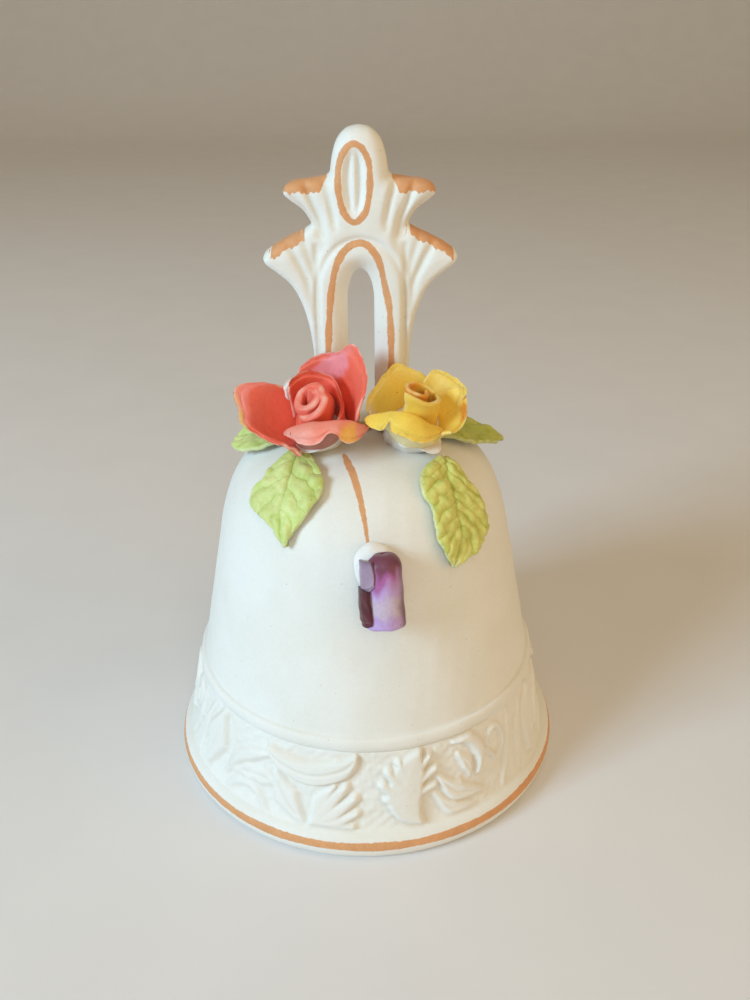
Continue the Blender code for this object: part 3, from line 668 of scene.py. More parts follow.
def make_handle():
    outline, opening = handle_curves()
    points, faces, mesh = remeshed_slab(outline, opening, HANDLE_HALF, 0.27)
    edges = np.zeros(len(mesh.edges) * 2, int)
    mesh.edges.foreach_get("vertices", edges)
    edges = edges.reshape(-1, 2)
    spot = points[:, [0, 2]]
    to_edge, _, _ = along_line(spot, outline)
    to_opening, _, _ = along_line(spot, opening)
    mirrored = np.stack((np.abs(spot[:, 0]), spot[:, 1]), 1)
    foot = spot[:, 1] < 74
    half = 1.15 + (HANDLE_HALF - 1.15) * np.sqrt(1 - (1 - np.clip(to_edge / 2.7, 0, 1)) ** 2)
    wing = smoothstep((to_opening - 5.6) / 1.6) * smoothstep((np.abs(spot[:, 0]) - 4.6) / 2.2)
    half -= 0.75 * wing * smoothstep(to_edge / 2.0)
    near = to_opening < 5.6
    bevel = 1.6 + (HANDLE_HALF - 1.6) * np.sin(math.pi / 2 * np.clip(to_opening / 3.3, 0, 1))
    half = np.where(near, np.minimum(half, bevel), half)
    moulding = (spot[:, 1] < 111) & (np.abs(spot[:, 0]) < 9)
    half -= np.where(moulding, 0.55 * bump_at(to_opening, 5.45, 0.45), 0)
    for line, depth, width in FLUTES:
        distance, place, _ = along_line(mirrored, through(line, 14))
        half -= depth * bump_at(distance, 0, width) * (0.35 + 0.65 * np.sin(math.pi * np.clip(place * 0.9 + 0.1, 0, 1)))
    oval = closed_curve(OVAL, 60)
    to_oval, _, _ = along_line(spot, oval)
    panel = inside_polygon(spot, oval)
    depth_in = np.where(panel, to_oval, 0) - OVAL_LINE
    hollow = smoothstep(depth_in / 0.9)
    ridge = bump_at(spot[:, 0] + 0.85, 0, 0.5) * smoothstep(depth_in / 0.5)
    half -= 0.95 * hollow - 0.75 * ridge * hollow
    half = np.maximum(half, 0.9)
    shaped = points.copy()
    shaped[:, 1] *= half / HANDLE_HALF
    shaped = relax(shaped, edges, 4)
    shaped[:, 1] += 0.05 * wobble(shaped, 6, 11)
    shaped[:, 2] = np.clip(shaped[:, 2], 71.9, 126.0)
    lines = OVAL_LINE + 0.05 * np.sin(1.3 * spot[:, 1]) - to_oval
    to_arch, _, _ = along_line(spot, through(ARCH, 90))
    lines = np.maximum(lines, ARCH_LINE + 0.07 * np.sin(0.9 * spot[:, 1] + 1) - to_arch)
    x, z = mirrored[:, 0], spot[:, 1]
    across = spot[:, 0]
    streaks = 0.2 * np.sin(2.3 * across) + 0.16 * np.sin(6.1 * across + 1) + 0.06 * np.sin(13.7 * across + 2.2 * z)
    upper = np.minimum(z - 115.6 - streaks, x - 5.4 - 0.5 * np.maximum(118.2 - z, 0) - 0.2 * streaks)
    top_edge = np.interp(x, (8.2, 9.8, 12.6, 15.2, 16.9), (110.0, 109.1, 107.8, 106.3, 104.8))
    deep = np.where(across < 0, 1.6, 1.3)
    lower = np.minimum(z - (top_edge - deep) - streaks, np.minimum(x - np.where(across < 0, 9.6, 8.3), 15.9 - x) - 1.6 * streaks)
    lines = np.maximum(lines, np.maximum(np.where((z > 112.5) & (z < 119.5), upper, -2), np.where(z < 110.6, lower, -2)))
    tint = np.broadcast_to(BISQUE, (len(points), 3)).copy()
    # Painted shade: a darker warm tint along the flute hollows.
    crease_shade = sum(bump_at(along_line(mirrored, through(line, 14))[0], 0, 0.4) for line, _, _ in FLUTES)
    tint = mix(tint, srgb(214, 196, 160), 0.35 * np.clip(crease_shade, 0, 1))
    put("fleur_handle", shaped, faces, "bell", "bisque", BODY, ["handle"], tint=tint, tan=np.where(foot, -1, lines))


# ---------------------------------------------------------------- petals


def flower_frame(base, tilt, side):
    """Rotation and place of a flower: X to the right, Y up its face, Z along its axis."""
    axis = Vector((math.sin(math.radians(side)), 0.0, math.cos(math.radians(side))))
    axis = Matrix.Rotation(math.radians(tilt), 3, "X") @ axis
    right = (Vector((1, 0, 0)) - axis * axis.x).normalized()
    return np.array(Matrix((right, axis.cross(right), axis)).transposed()), np.array(base, float)


def placed(where, points):
    return points @ where[0].T + where[1]


def eased(pairs, value):
    """A smooth curve through (place, height) pairs."""
    places = np.array([pair[0] for pair in pairs], float)
    heights = np.array([pair[1] for pair in pairs], float)
    index = np.clip(np.searchsorted(places, value) - 1, 0, len(places) - 2)
    part = np.clip((value - places[index]) / (places[index + 1] - places[index]), 0, 1)
    part = part * part * (3 - 2 * part)
    return heights[index] * (1 - part) + heights[index + 1] * part


def petal_points(s, t, turn, lean, curl, length, start, width, cup, foot=0.6, drop=0.2, roll=0.4, skew=0.0, power=1, rim=None, lift=None, cupping=0.0):
    """A petal's middle surface in its flower's frame, in mm, for s in -1..1 across and t in 0..1 along.

    turn, lean and curl are degrees: where it stands round the axis, its angle to it, and how far it bends
    outwards, late for a high power. rim gives parts of the length added across its tip, lift how far its
    tip is raised across it in mm, and cupping how far its middle is hollowed.
    """
    lean, curl, turn = (math.radians(value) for value in (lean, curl, turn))
    out = np.array((math.cos(turn), math.sin(turn), 0))
    across = np.array((-math.sin(turn), math.cos(turn), 0))
    axis = np.array((0, 0, 1.0))
    reach = length * (1 - drop * np.abs(s) ** 2.5 + skew * s + (eased(rim, s) if rim else 0))
    steps = 12
    radius = np.zeros_like(t)
    height = np.zeros_like(t)
    for step in range(steps):
        bend = lean + curl * (t * (step + 0.5) / steps) ** power
        radius = radius + reach * t / steps * np.sin(bend)
        height = height + reach * t / steps * np.cos(bend)
    bend = lean + curl * t**power
    inward = axis * np.sin(bend)[..., None] - out * np.cos(bend)[..., None]
    half = width * (foot + (1 - foot) * np.sin(math.pi / 2 * np.minimum(1, t / 0.65)))
    angle = s * half / cup
    raised = cup * (1 - np.cos(angle)) - roll * np.clip((t - 0.6) / 0.4, 0, 1) ** 2
    raised = raised - cupping * np.sin(math.pi * t) * (1 - s**2)
    if lift:
        raised = raised + eased(lift, s) * t**3
    points = out * (start[0] + radius)[..., None] + axis * (start[1] + height)[..., None]
    return points + across * (cup * np.sin(angle))[..., None] + inward * raised[..., None]


def add_petal(name, where, shape, colours, node=None, slot="coral_petal", finish=None, thickness=0.95, seed=1, ragged=0.05):
    """One petal: colours(s, t, face, points) gives each point's colour, with face 1 inside and -1 outside."""
    u, v = np.meshgrid(edge_spaced(64), edge_spaced(48), indexing="ij")
    s, t = 2 * u - 1, v
    points = placed(where, petal_points(s, t, **shape))
    return finished_petal(name, points, s, t, colours, node, slot, finish, thickness, seed, ragged)


def add_lip(name, where, foot, crest, rim, colours, node, slot, seed):
    """A petal that climbs from a ring at the flower's foot to its crest and rolls over out to its rim.

    crest and rim are points in mm in the bell's frame, from the left to the right.
    """
    u, v = np.meshgrid(edge_spaced(90), edge_spaced(48), indexing="ij")
    s, t = 2 * u - 1, v
    crest = through(crest, 90)
    rim = through(rim, 90)
    share = np.interp(u[:, 0], np.linspace(0, 1, 90), np.arange(90))
    pick = np.round(share).astype(int)
    crest, rim = crest[pick], rim[pick]
    local = (crest - where[1]) @ where[0]
    turn = np.arctan2(local[:, 1], local[:, 0])
    ring = np.stack((foot[0] * np.cos(turn), foot[0] * np.sin(turn), np.full(len(turn), foot[1])), -1)
    base = placed(where, ring)
    belly = base + (crest - base) * (0.5, 0.62, 0.5)
    over = crest + (rim - crest) * (0.5, 0.62, 0.22) + (0, 0, 0.1)
    rows = np.stack((base, belly, crest, over, rim))
    place = np.clip(t[0] * 4, 0, 3.9999)
    found = []
    padded = np.concatenate((2 * rows[:1] - rows[1:2], rows, 2 * rows[-1:] - rows[-2:-1]))
    for value in place:
        first = int(value)
        part = value - first
        a, b, c, d = padded[first : first + 4]
        found.append(
            0.5 * (2 * b + (c - a) * part + (2 * a - 5 * b + 4 * c - d) * part**2 + (3 * b - a - 3 * c + d) * part**3)
        )
    points = np.stack(found, 1)
    return finished_petal(name, points, s, t, colours, node, slot, None, 0.9, seed, 0.04)


def finished_petal(name, points, s, t, colours, node, slot, finish, thickness, seed, ragged):
    u, v = (s + 1) / 2, t
    points = points + (0.1 * wobble(points, 7, seed) + 0.03 * wobble(points, 2.4, seed + 1))[..., None]
    edge = np.clip((np.maximum(np.abs(s), t) - 0.8) / 0.2, 0, 1)
    points = points + (edge * ragged * wobble(points, 2.0, seed + 2))[..., None] * np.array((0.5, 0.3, 1.0))
    thick = rounded(u, np.clip(v + 0.1, 0, 1), thickness, 0.1) * (1 - 0.3 * t)
    made, faces, where_from, face = sheet(points, thick)
    tint = colours(s.ravel()[where_from], t.ravel()[where_from], face, made)
    return put(
        name, made, faces, "bell", slot, finish or PETAL_FINISH, [node] if node else (),
        tint=tint, tan=np.full(len(made), -3.0),
    )  # fmt: skip


def add_roll(name, where, start, turn, inner, outer, foot, height, colours, node, slot, slope=0.1, taper=0.1, tilt=0.0, tilt_to=0.0, tip=0.0, thickness=0.85, finish=None, seed=1, dome=0.0, uneven=0.08):
    """A strip rolled into a spiral, with a slanting top and a raised outer corner, in mm and degrees."""
    u, v = np.meshgrid(edge_spaced(360, 0.2), edge_spaced(36), indexing="ij")
    angle = np.radians(start + turn * u)
    radius = (inner + (outer - inner) * u) * (1 - taper * v)
    if dome:
        radius = radius * (0.05 + 0.95 * np.sqrt(1 - (1 - np.clip(v / dome, 0, 1)) ** 2))
    reach = height * (1 - slope * u) + tilt * (radius / outer) * np.cos(angle - math.radians(tilt_to))
    reach = reach + tip * np.exp(-(((1 - u) / 0.05) ** 2))
    points = np.stack((radius * np.cos(angle), radius * np.sin(angle), foot + reach * v), -1)
    flare = 0.25 * np.clip((v - 0.8) / 0.2, 0, 1) ** 2
    points[..., 0] += flare * np.cos(angle)
    points[..., 1] += flare * np.sin(angle)
    points = placed(where, points)
    points = points + (uneven * wobble(points, 4, seed))[..., None]
    if turn < 0:
        points, u, v = points[::-1], u[::-1], v[::-1]
    made, faces, where_from, face = sheet(points, rounded(u, v, thickness, 0.1))
    tint = colours(u.ravel()[where_from], v.ravel()[where_from], face, made)
    return put(
        name, made, faces, "bell", slot, finish or PETAL_FINISH, [node],
        tint=tint, tan=np.full(len(made), -3.0),
    )  # fmt: skip


def shades(base, deep, pale, rim, rim_width=0.1, patches=(), outside=None):
    """A petal's colours: deep at its foot, pale towards its tip, a bare rim, patches of other paint and of painted
    highlight, and an outside colour that on the red rose's front petal is painted shade.

    Each patch is a colour, its place (s, t), its reach in s and t, and its strength.
    """

    def colours(s, t, face, points):
        cloud = 0.5 + 0.35 * wobble(points, 5, 21)
        tint = mix(np.broadcast_to(deep, (len(s), 3)), base, smoothstep((t + 0.22) / 0.5))
        tint = mix(tint, pale, smoothstep((t - 0.45) / 0.55) * 0.7 * np.clip(cloud, 0, 1))
        if outside is not None:
            inset = np.minimum((1 - t) * 9, (1 - np.abs(s)) * 6)
            tint = mix(tint, outside, smoothstep(face * 2 - 0.4) * smoothstep((inset - 0.5) / 1.6))
        for colour, at, size, strength in patches:
            near = np.hypot((s - at[0]) / size[0], (t - at[1]) / size[1]) + 0.12 * wobble(points, 2.5, 22)
            tint = mix(tint, colour, strength * smoothstep((1.15 - near) / 0.5))
        near_edge = np.minimum((1 - t) * 9, (1 - np.abs(s)) * 6) + 0.1 * wobble(points, 2.6, 23)
        return mix(tint, rim, 0.85 * smoothstep((rim_width * 6 - near_edge) / 0.35))

    return colours


def plain(colour):
    return lambda s, t, face, points: np.broadcast_to(colour, (len(s), 3))


ROSE_TILT = 24.0


def make_red_rose():
    where = flower_frame((-8.4, -7.6, 72.1), ROSE_TILT, -3)
    bare = srgb(250, 200, 184)
    inside = shades(CORAL, DEEP_CORAL, srgb(246, 124, 104), bare, 0.05)
    add_roll(
        "red_rose_heart", where, 860, -640, 0.45, 3.75, 3.6, 8.9,
        shades(CORAL, srgb(230, 84, 58), PINK, bare, 0.03), "red_rose_core", "coral_petal",
        slope=0.06, taper=0.08, tilt=1.9, tilt_to=40, tip=-0.9, thickness=1.42, uneven=0.34, seed=31,
    )  # fmt: skip
    add_petal(
        "red_rose_wrap", where,
        dict(turn=58, lean=1, curl=2, length=8.4, start=(5.2, 3.6), width=8.0, cup=5.1, foot=0.95, drop=0.15, roll=0.5, skew=0.2,
             rim=((-1, -0.01), (-0.5, -0.07), (0, 0.0), (0.5, 0.03), (1, -0.03))),
        inside, "red_rose_wrap_petal", seed=32,
    )  # fmt: skip
    add_petal(
        "red_rose_left", where,
        dict(turn=173, lean=46, curl=17, length=12.0, start=(3.7, 1.4), width=7.4, cup=7.5, foot=0.98, drop=0.47, roll=0.8, skew=-0.26,
             rim=((-1, -0.04), (-0.6, 0.1), (0, 0.0), (0.5, 0.07), (0.8, 0.12), (1, 0.04)), cupping=0.5),
        shades(CORAL, DEEP_CORAL, srgb(232, 112, 90), bare, 0.06, outside=srgb(236, 196, 170),
               patches=((srgb(244, 222, 130), (0.05, 1.0), (0.62, 0.1), 0.9), (PINK, (-0.3, 0.9), (0.8, 0.1), 0.6))),
        "red_rose_left_petal", seed=33,
    )  # fmt: skip
    add_petal(
        "red_rose_back", where,
        dict(turn=46, lean=11, curl=14, length=12.8, start=(6.0, 3.4), width=9.1, cup=9.5, foot=0.6, drop=0.37, roll=0.7, skew=-0.09,
             rim=((-1, -0.04), (-0.5, 0.01), (0.0, 0.11), (0.35, -0.08), (1, -0.04)), cupping=0.4),
        # Painted highlight: the pinkish-lilac patch high on the back petal.
        shades(CORAL, DEEP_CORAL, srgb(240, 128, 112), bare, 0.05,
               patches=((srgb(244, 160, 176), (0.3, 0.72), (0.4, 0.26), 0.75),)),
        "red_rose_back_petal", seed=34,
    )  # fmt: skip
    add_petal(
        "red_rose_rear", where,
        dict(turn=111, lean=8, curl=16, length=6.2, start=(7.2, 3.4), width=3.0, cup=7.5, drop=0.25),
        plain(SLIP), "red_rose_rear_petal", "bisque", SLIP_FINISH, seed=35,
    )  # fmt: skip
    add_lip(
        "red_rose_front", where, (4.5, 3.6),
        ((-13.8, -13.3, 76.6), (-12.2, -14.8, 78.0), (-10.5, -15.6, 78.9), (-8.7, -16.0, 79.4), (-7.2, -16.0, 79.5), (-5.8, -15.8, 79.6),
         (-4.3, -15.4, 79.5), (-2.8, -14.8, 79.2), (-1.3, -14.1, 78.6), (-0.1, -13.3, 77.9), (1.0, -12.6, 77.2)),
        ((-13.9, -14.2, 76.7), (-12.1, -16.6, 77.0), (-11.0, -18.3, 76.7), (-8.9, -19.1, 76.8), (-7.3, -19.2, 77.4), (-6.0, -18.8, 78.7),
         (-4.4, -18.5, 78.6), (-3.5, -18.3, 77.1), (-1.9, -17.7, 76.4), (-0.3, -16.1, 76.8), (1.1, -13.4, 77.2)),
        # Painted shade: the outside of the rolled-over front lip is a dim greyish pink for the shade under its rim.
        shades(srgb(250, 148, 130), DEEP_CORAL, srgb(254, 188, 178), bare, 0.05, outside=srgb(190, 128, 122),
               patches=((srgb(246, 190, 84), (0.5, 0.97), (0.22, 0.42), 0.85),)),
        "red_rose_front_petal", "coral_petal", 36,
    )  # fmt: skip


def make_yellow_rose():
    where = flower_frame((9.4, -7.6, 72.4), ROSE_TILT, 3)
    bare = srgb(250, 232, 170)
    add_roll(
        "yellow_rose_heart", where, 745, -520, 0.8, 3.95, 3.6, 9.3,
        shades(YELLOW, DEEP_YELLOW, srgb(246, 204, 84), bare, 0.03,
               patches=((ORANGE, (0.0, 1.0), (0.62, 0.6), 0.8),)),
        "yellow_rose_core", "yellow_petal", slope=0.02, taper=-0.03, tilt=2.0, tilt_to=226, tip=0.6, uneven=0.14, seed=41,
    )  # fmt: skip
    add_petal(
        "yellow_rose_left", where,
        dict(turn=135, lean=8, curl=30, length=8.0, start=(5.5, 3.4), width=8.1, cup=12.2, foot=0.7, drop=0.47, roll=0.5,
             rim=((-1, -0.09), (-0.4, 0.1), (-0.05, -0.03), (0.3, -0.13), (1, 0.03)), cupping=0.4),
        shades(srgb(255, 232, 116), srgb(253, 216, 88), srgb(255, 240, 150), bare, 0.04,
               patches=((srgb(222, 214, 196), (0.95, 0.45), (0.28, 0.5), 0.9),)),
        "yellow_rose_left_petal", "yellow_petal", seed=42,
    )  # fmt: skip
    add_petal(
        "yellow_rose_back", where,
        dict(turn=44, lean=15, curl=28, length=7.2, start=(5.8, 3.8), width=4.6, cup=6.8, drop=0.16, roll=0.7, skew=-0.03),
        shades(srgb(238, 204, 92), DEEP_YELLOW, srgb(244, 218, 120), bare, 0.05),
        "yellow_rose_back_petal", "yellow_petal", seed=43,
    )  # fmt: skip
    add_petal(
        "yellow_rose_right", where,
        dict(turn=350, lean=33, curl=26, length=5.9, start=(4.25, 4.8), width=6.0, cup=8.9, foot=0.75, drop=0.12, roll=0.5, cupping=0.3, skew=0.05),
        shades(YELLOW, DEEP_YELLOW, srgb(244, 212, 104), bare, 0.05, outside=srgb(240, 232, 200),
               patches=((ORANGE, (0.1, 0.92), (0.45, 0.16), 0.75), (DEEP_YELLOW, (-0.7, 0.6), (0.3, 0.4), 0.5))),
        "yellow_rose_right_petal", "yellow_petal", seed=44,
    )  # fmt: skip
    add_lip(
        "yellow_rose_front", where, (4.6, 3.6),
        ((0.5, -12.6, 78.5), (1.4, -13.2, 79.3), (2.9, -14.0, 80.0), (4.2, -14.8, 80.5), (5.3, -15.4, 80.8), (6.8, -16.0, 81.0),
         (8.4, -16.2, 80.7), (10.0, -16.1, 79.9), (11.5, -15.6, 78.8), (13.1, -14.6, 77.5), (14.5, -13.4, 76.0)),
        ((0.3, -13.4, 78.6), (0.8, -15.5, 78.8), (2.3, -17.4, 78.7), (3.6, -18.0, 79.1), (4.5, -17.8, 80.4), (5.0, -18.6, 79.0),
         (6.9, -19.4, 78.1), (9.1, -19.4, 77.2), (11.3, -18.6, 77.0), (13.2, -16.7, 77.1), (14.6, -14.3, 76.4)),
        shades(YELLOW, DEEP_YELLOW, srgb(238, 204, 92), bare, 0.05, outside=srgb(240, 228, 178)),
        "yellow_rose_front_petal", "yellow_petal", 45,
    )  # fmt: skip


# ---------------------------------------------------------------- leaves, bud and slip


def meridian_table():
    angle = np.linspace(0, math.pi / 2, 400)
    height = WALL_TOP + (CROWN_TOP - WALL_TOP) * np.cos(angle) ** 0.6
    radius = wall_radius(height)
    radius[0] = 0.0
    radius = np.append(radius, wall_radius(BAND_TOP))
    height = np.append(height, BAND_TOP)
    run = np.concatenate(([0], np.cumsum(np.hypot(np.diff(radius), np.diff(height)))))
    return run, radius, height


RUN, RUN_RADIUS, RUN_HEIGHT = meridian_table()


def on_cup(along, sideways, lift):
    """Points lift mm above the cup, along mm down it from its axis and sideways radians from the front."""
    step = 0.3
    radius = np.interp(along, RUN, RUN_RADIUS)
    height = np.interp(along, RUN, RUN_HEIGHT)
    ahead_r = np.interp(along + step, RUN, RUN_RADIUS) - np.interp(along - step, RUN, RUN_RADIUS)
    ahead_h = np.interp(along + step, RUN, RUN_HEIGHT) - np.interp(along - step, RUN, RUN_HEIGHT)
    size = np.maximum(np.hypot(ahead_r, ahead_h), 1e-9)
    radius = radius - lift * ahead_h / size
    height = height + lift * ahead_r / size
    return np.stack((radius * np.sin(sideways), -radius * np.cos(sideways), height), -1)


# Leaves: each edge and the midrib from the foot to the tip, as (mm to the right of the leaf's own meridian,
# mm down the meridian from the bell's axis).
LEAVES = (
    dict(
        name="leaf_front_left", sideways=-38, lift=0.95, tip_lift=0.35, fold=0.25, veins=5, teeth=0.12,
        left=((-3.4, 15.0), (-5.2, 17.6), (-5.9, 20.8), (-5.6, 22.8), (-7.0, 25.0), (-6.7, 27.0), (-4.3, 28.3), (-1.0, 29.0), (1.5, 30.2), (3.8, 32.2)),
        rib=((-2.8, 15.2), (-1.0, 19.6), (0.3, 23.0), (1.0, 26.6), (1.9, 28.8), (3.8, 32.2)),
        right=((-2.2, 15.0), (0.9, 15.6), (4.6, 18.3), (6.4, 20.6), (7.1, 22.8), (6.5, 24.8), (6.1, 26.5), (5.1, 28.6), (4.3, 30.3), (3.8, 32.2)),
        pale=LEAF_PALE, deep=LEAF_GREEN, curl=0.0, seed=51),
    dict(
        name="leaf_front_right", sideways=40, lift=0.95, tip_lift=0.3, fold=0.25, veins=8, teeth=1.0,
        left=((3.4, 17.9), (0.6, 17.8), (-2.2, 18.9), (-4.3, 20.9), (-5.2, 23.5), (-4.8, 25.4), (-5.5, 28.1), (-5.7, 30.9), (-5.1, 33.2), (-3.8, 36.5)),
        rib=((4.0, 18.1), (1.8, 21.5), (0.6, 25.0), (-0.3, 27.8), (-0.6, 30.6), (-1.3, 32.8), (-3.8, 36.5)),
        right=((4.6, 18.1), (5.2, 20.4), (5.6, 23.1), (6.0, 26.3), (6.9, 29.3), (6.6, 32.2), (5.0, 34.3), (2.2, 35.6), (-0.4, 35.9), (-3.8, 36.5)),
        pale=srgb(230, 234, 142), deep=LEAF_DEEP, curl=0.0, seed=52),
    dict(
        name="leaf_side_left", sideways=-88, lift=1.2, tip_lift=2.2, fold=0.4, veins=4, teeth=0.2,
        left=((-0.6, 13.2), (-3.6, 15.0), (-5.4, 18.0), (-5.4, 21.6), (-4.2, 24.2)),
        rib=((0.5, 13.0), (-0.6, 17.0), (-2.2, 20.8), (-4.2, 24.2)),
        right=((1.6, 13.2), (4.6, 15.0), (5.6, 18.4), (3.4, 22.2), (-0.8, 24.4), (-4.2, 24.2)),
        pale=LEAF_PALE, deep=LEAF_GREEN, curl=0.8, seed=53),
    dict(
        name="leaf_side_right", sideways=89, lift=1.2, tip_lift=3.3, fold=0.3, veins=5, teeth=0.1,
        left=((-1.0, 11.6), (-4.0, 14.0), (-5.0, 17.5), (-3.6, 21.0), (-0.6, 23.8), (3.1, 25.9)),
        rib=((0.0, 11.4), (1.2, 16.2), (2.0, 20.9), (3.1, 25.9)),
        right=((1.0, 11.2), (5.2, 12.6), (7.2, 15.6), (7.0, 19.0), (5.6, 22.4), (3.1, 25.9)),
        pale=srgb(196, 206, 110), deep=LEAF_DEEP, curl=0.0, seed=54),
)  # fmt: skip


def add_leaf(name, sideways, left, rib, right, lift, tip_lift, fold, veins, teeth, pale, deep, curl, seed):
    """A pressed leaf laid over the cup, with a midrib, side veins, swollen fields and a toothed edge."""
    columns = 150
    u, v = np.meshgrid(edge_spaced(96, 0.4), edge_spaced(columns, 0.3), indexing="ij")
    s, t = 2 * u - 1, v
    evenly = np.linspace(0, 1, columns)
    curves = []
    for curve in (left, rib, right):
        line = through(curve, columns)
        curves.append(np.stack([np.interp(v[0], evenly, line[:, axis]) for axis in (0, 1)], -1))
    left_edge, midrib_line, right_edge = (curve[None] for curve in curves)
    reach = np.abs(s)[..., None]
    tooth = 2.2 * veins * t - np.floor(2.2 * veins * t)
    notch = np.where(s < 0, 0.15, smoothstep((t - 0.4) / 0.3)) * teeth * np.abs(s) ** 4 * tooth * np.sin(math.pi * np.clip(t * 1.05, 0, 1))
    reach = reach - notch[..., None] * 0.12
    flat = midrib_line + np.where(s[..., None] < 0, left_edge - midrib_line, right_edge - midrib_line) * reach
    half = np.linalg.norm(np.where(s[..., None] < 0, left_edge - midrib_line, right_edge - midrib_line), axis=-1)
    vein = veins * (t - 0.3 * np.abs(s) ** 1.1 + 0.02 * wobble(flat, 3.5, seed + 4)) + 0.15 * np.sign(s)
    gap = np.abs(vein - np.round(vein))
    side_vein = np.exp(-((gap / 0.07) ** 2)) * smoothstep(np.abs(s) / 0.1) * smoothstep((1 - np.abs(s)) / 0.25)
    side_vein = side_vein * smoothstep((0.97 - t) / 0.1)
    midrib = np.exp(-((s * half / 0.3) ** 2)) * smoothstep((0.99 - t) / 0.1)
    swell = 0.5 - 0.5 * np.cos(2 * math.pi * vein)
    swell = swell * smoothstep(np.abs(s) / 0.3) * smoothstep((1.02 - np.abs(s)) / 0.35)
    raised = lift + tip_lift * t**2.5 + fold * np.abs(s) ** 1.5 * np.sin(math.pi * t)
    raised = raised + 0.3 * swell * (1.05 + 0.4 * wobble(flat, 4, seed + 5)) - 0.25 * side_vein - 0.55 * midrib + curl * np.clip(-s, 0, 1) ** 2 * np.sin(math.pi * t)
    raised = raised + 0.2 * wobble(flat, 3.6, seed) + 0.06 * wobble(flat, 1.6, seed + 1)
    radius = np.maximum(np.interp(flat[..., 1], RUN, RUN_RADIUS), 4)
    points = on_cup(flat[..., 1], math.radians(sideways) + flat[..., 0] / radius, raised)
    thick = rounded(u, v, 0.9, 0.1)
    made, faces, where_from, face = sheet(points[:, ::-1], thick[:, ::-1])
    s, t, swell, side_vein, midrib = (values[:, ::-1].ravel()[where_from] for values in (s, t, swell, side_vein, midrib))
    cloud = 0.5 + 0.4 * wobble(made, 3.0, seed + 2)
    # Painted shade and light: deeper, darker green in the midrib and side-vein grooves, paler on the swollen fields
    # between them.
    tint = mix(np.broadcast_to(pale, (len(s), 3)), deep, 0.75 * np.clip(cloud, 0, 1) * (1 - 0.5 * swell))
    tint = mix(tint, deep * 0.8, 0.5 * np.clip(0.7 * side_vein + midrib, 0, 1))
    tint = mix(tint, srgb(226, 226, 196), 0.6 * smoothstep((0.07 - t) / 0.07) + 0.5 * smoothstep((t - 0.93) / 0.07))
    near_edge = np.minimum(1 - np.abs(s), 2.2 * (1 - t)) + 0.03 * wobble(made, 1.2, seed + 3)
    tint = mix(tint, srgb(222, 232, 186), 0.7 * smoothstep((0.08 - near_edge) / 0.08))
    tint = mix(tint, srgb(228, 232, 222), smoothstep((-face - 0.2) / 0.5) * smoothstep((near_edge - 0.05) / 0.05))
    return put(name + "_pressed", made, faces, "bell", "leaf_green", LEAF_FINISH, [name], tint=tint, tan=np.full(len(made), -3.0))


def add_mound(name, node, points_of, rows, columns):
    """A closed lump of slip: points_of(angle, rise) gives points for 0..1 round it and 0..1 up over it."""
    u, v = np.meshgrid(np.linspace(0, 1, rows, endpoint=False), np.linspace(0, 1, columns), indexing="ij")
    points = points_of(2 * math.pi * u, v)
    faces = quads(rows, columns, ring=True)
    flat = points.reshape(-1, 3)
    first = np.arange(rows) * columns
    count = len(flat)
    caps = np.vstack((points[:, 0].mean(0), points[:, -1].mean(0)))
    low = np.stack((first, np.full(rows, count), np.roll(first, -1)), 1)[:, ::-1]
    last = first + columns - 1
    high = np.stack((last, np.roll(last, -1), np.full(rows, count + 1)), 1)[:, ::-1]
    made = np.vstack((flat, caps))
    every = [tuple(face) for face in faces] + [tuple(face) for face in low] + [tuple(face) for face in high]
    tint = np.broadcast_to(SLIP, (len(made), 3))
    return put(name, made, every, "bell", "bisque", SLIP_FINISH, [node], tint=tint, tan=np.full(len(made), -3.0))


PADS = (
    dict(name="red_rose", base=(-8.4, -7.6, 72.1), side=-3, centre=(-8.9, -5.8), reach=(5.2, 4.2), corner=250, square=0.12, low=176, seed=61),
    dict(name="yellow_rose", base=(9.4, -7.6, 72.4), side=3, centre=(9.4, -5.8), reach=(5.2, 4.3), corner=312, square=0.42, low=346, seed=62),
)


def add_pad(name, base, side, centre, reach, corner, square, low, seed):
    """A lump of slip that widens from the crown up to the foot of a rose, with one squared corner."""
    where = flower_frame(base, ROSE_TILT, side)

    def lump(angle, rise):
        around = np.stack((np.cos(angle), np.sin(angle)), -1)
        edge = 1 + 0.04 * wobble(around * 4, 5, seed)
        squared = np.exp(-(((np.degrees(angle) - corner) / 23) ** 2))
        beside = np.exp(-((((np.degrees(angle) - low + 180) % 360 - 180) / 48) ** 2))
        flat = np.array(centre) + np.array(reach) * edge[..., None] * around
        ground = np.concatenate((flat, (crown_height(np.hypot(flat[..., 0], flat[..., 1])) - 0.25)[..., None]), -1)
        ring = (4.9 + 1.0 * smoothstep(0.5 + np.sin(angle)) - 0.7 * beside) * edge * (1 + square * squared)
        ring = placed(where, np.concatenate((ring[..., None] * around, (3.5 - 3.6 * square * squared - 1.9 * beside * (1 - squared))[..., None]), -1))
        climb = smoothstep(rise / 0.62)[..., None] * 0.5 + np.clip(rise / 0.62, 0, 1)[..., None] * 0.5
        cap = np.clip((rise - 0.62) / 0.4, 0, 1)[..., None]
        points = (ground * (1 - climb) + ring * climb) * (1 - cap) + placed(where, np.array((0.0, 0.0, 4.3))) * cap
        return points + (0.08 * wobble(points, 3, seed + 1))[..., None]

    add_mound(name + "_slip", name + "_pad", lump, 96, 34)


def crown_height(radius):
    share = np.clip(radius / WALL_TOP_RADIUS, 0, 0.999)
    return WALL_TOP + (CROWN_TOP - WALL_TOP) * (1 - share**SHOULDER_POWER) ** (1 / SHOULDER_POWER)


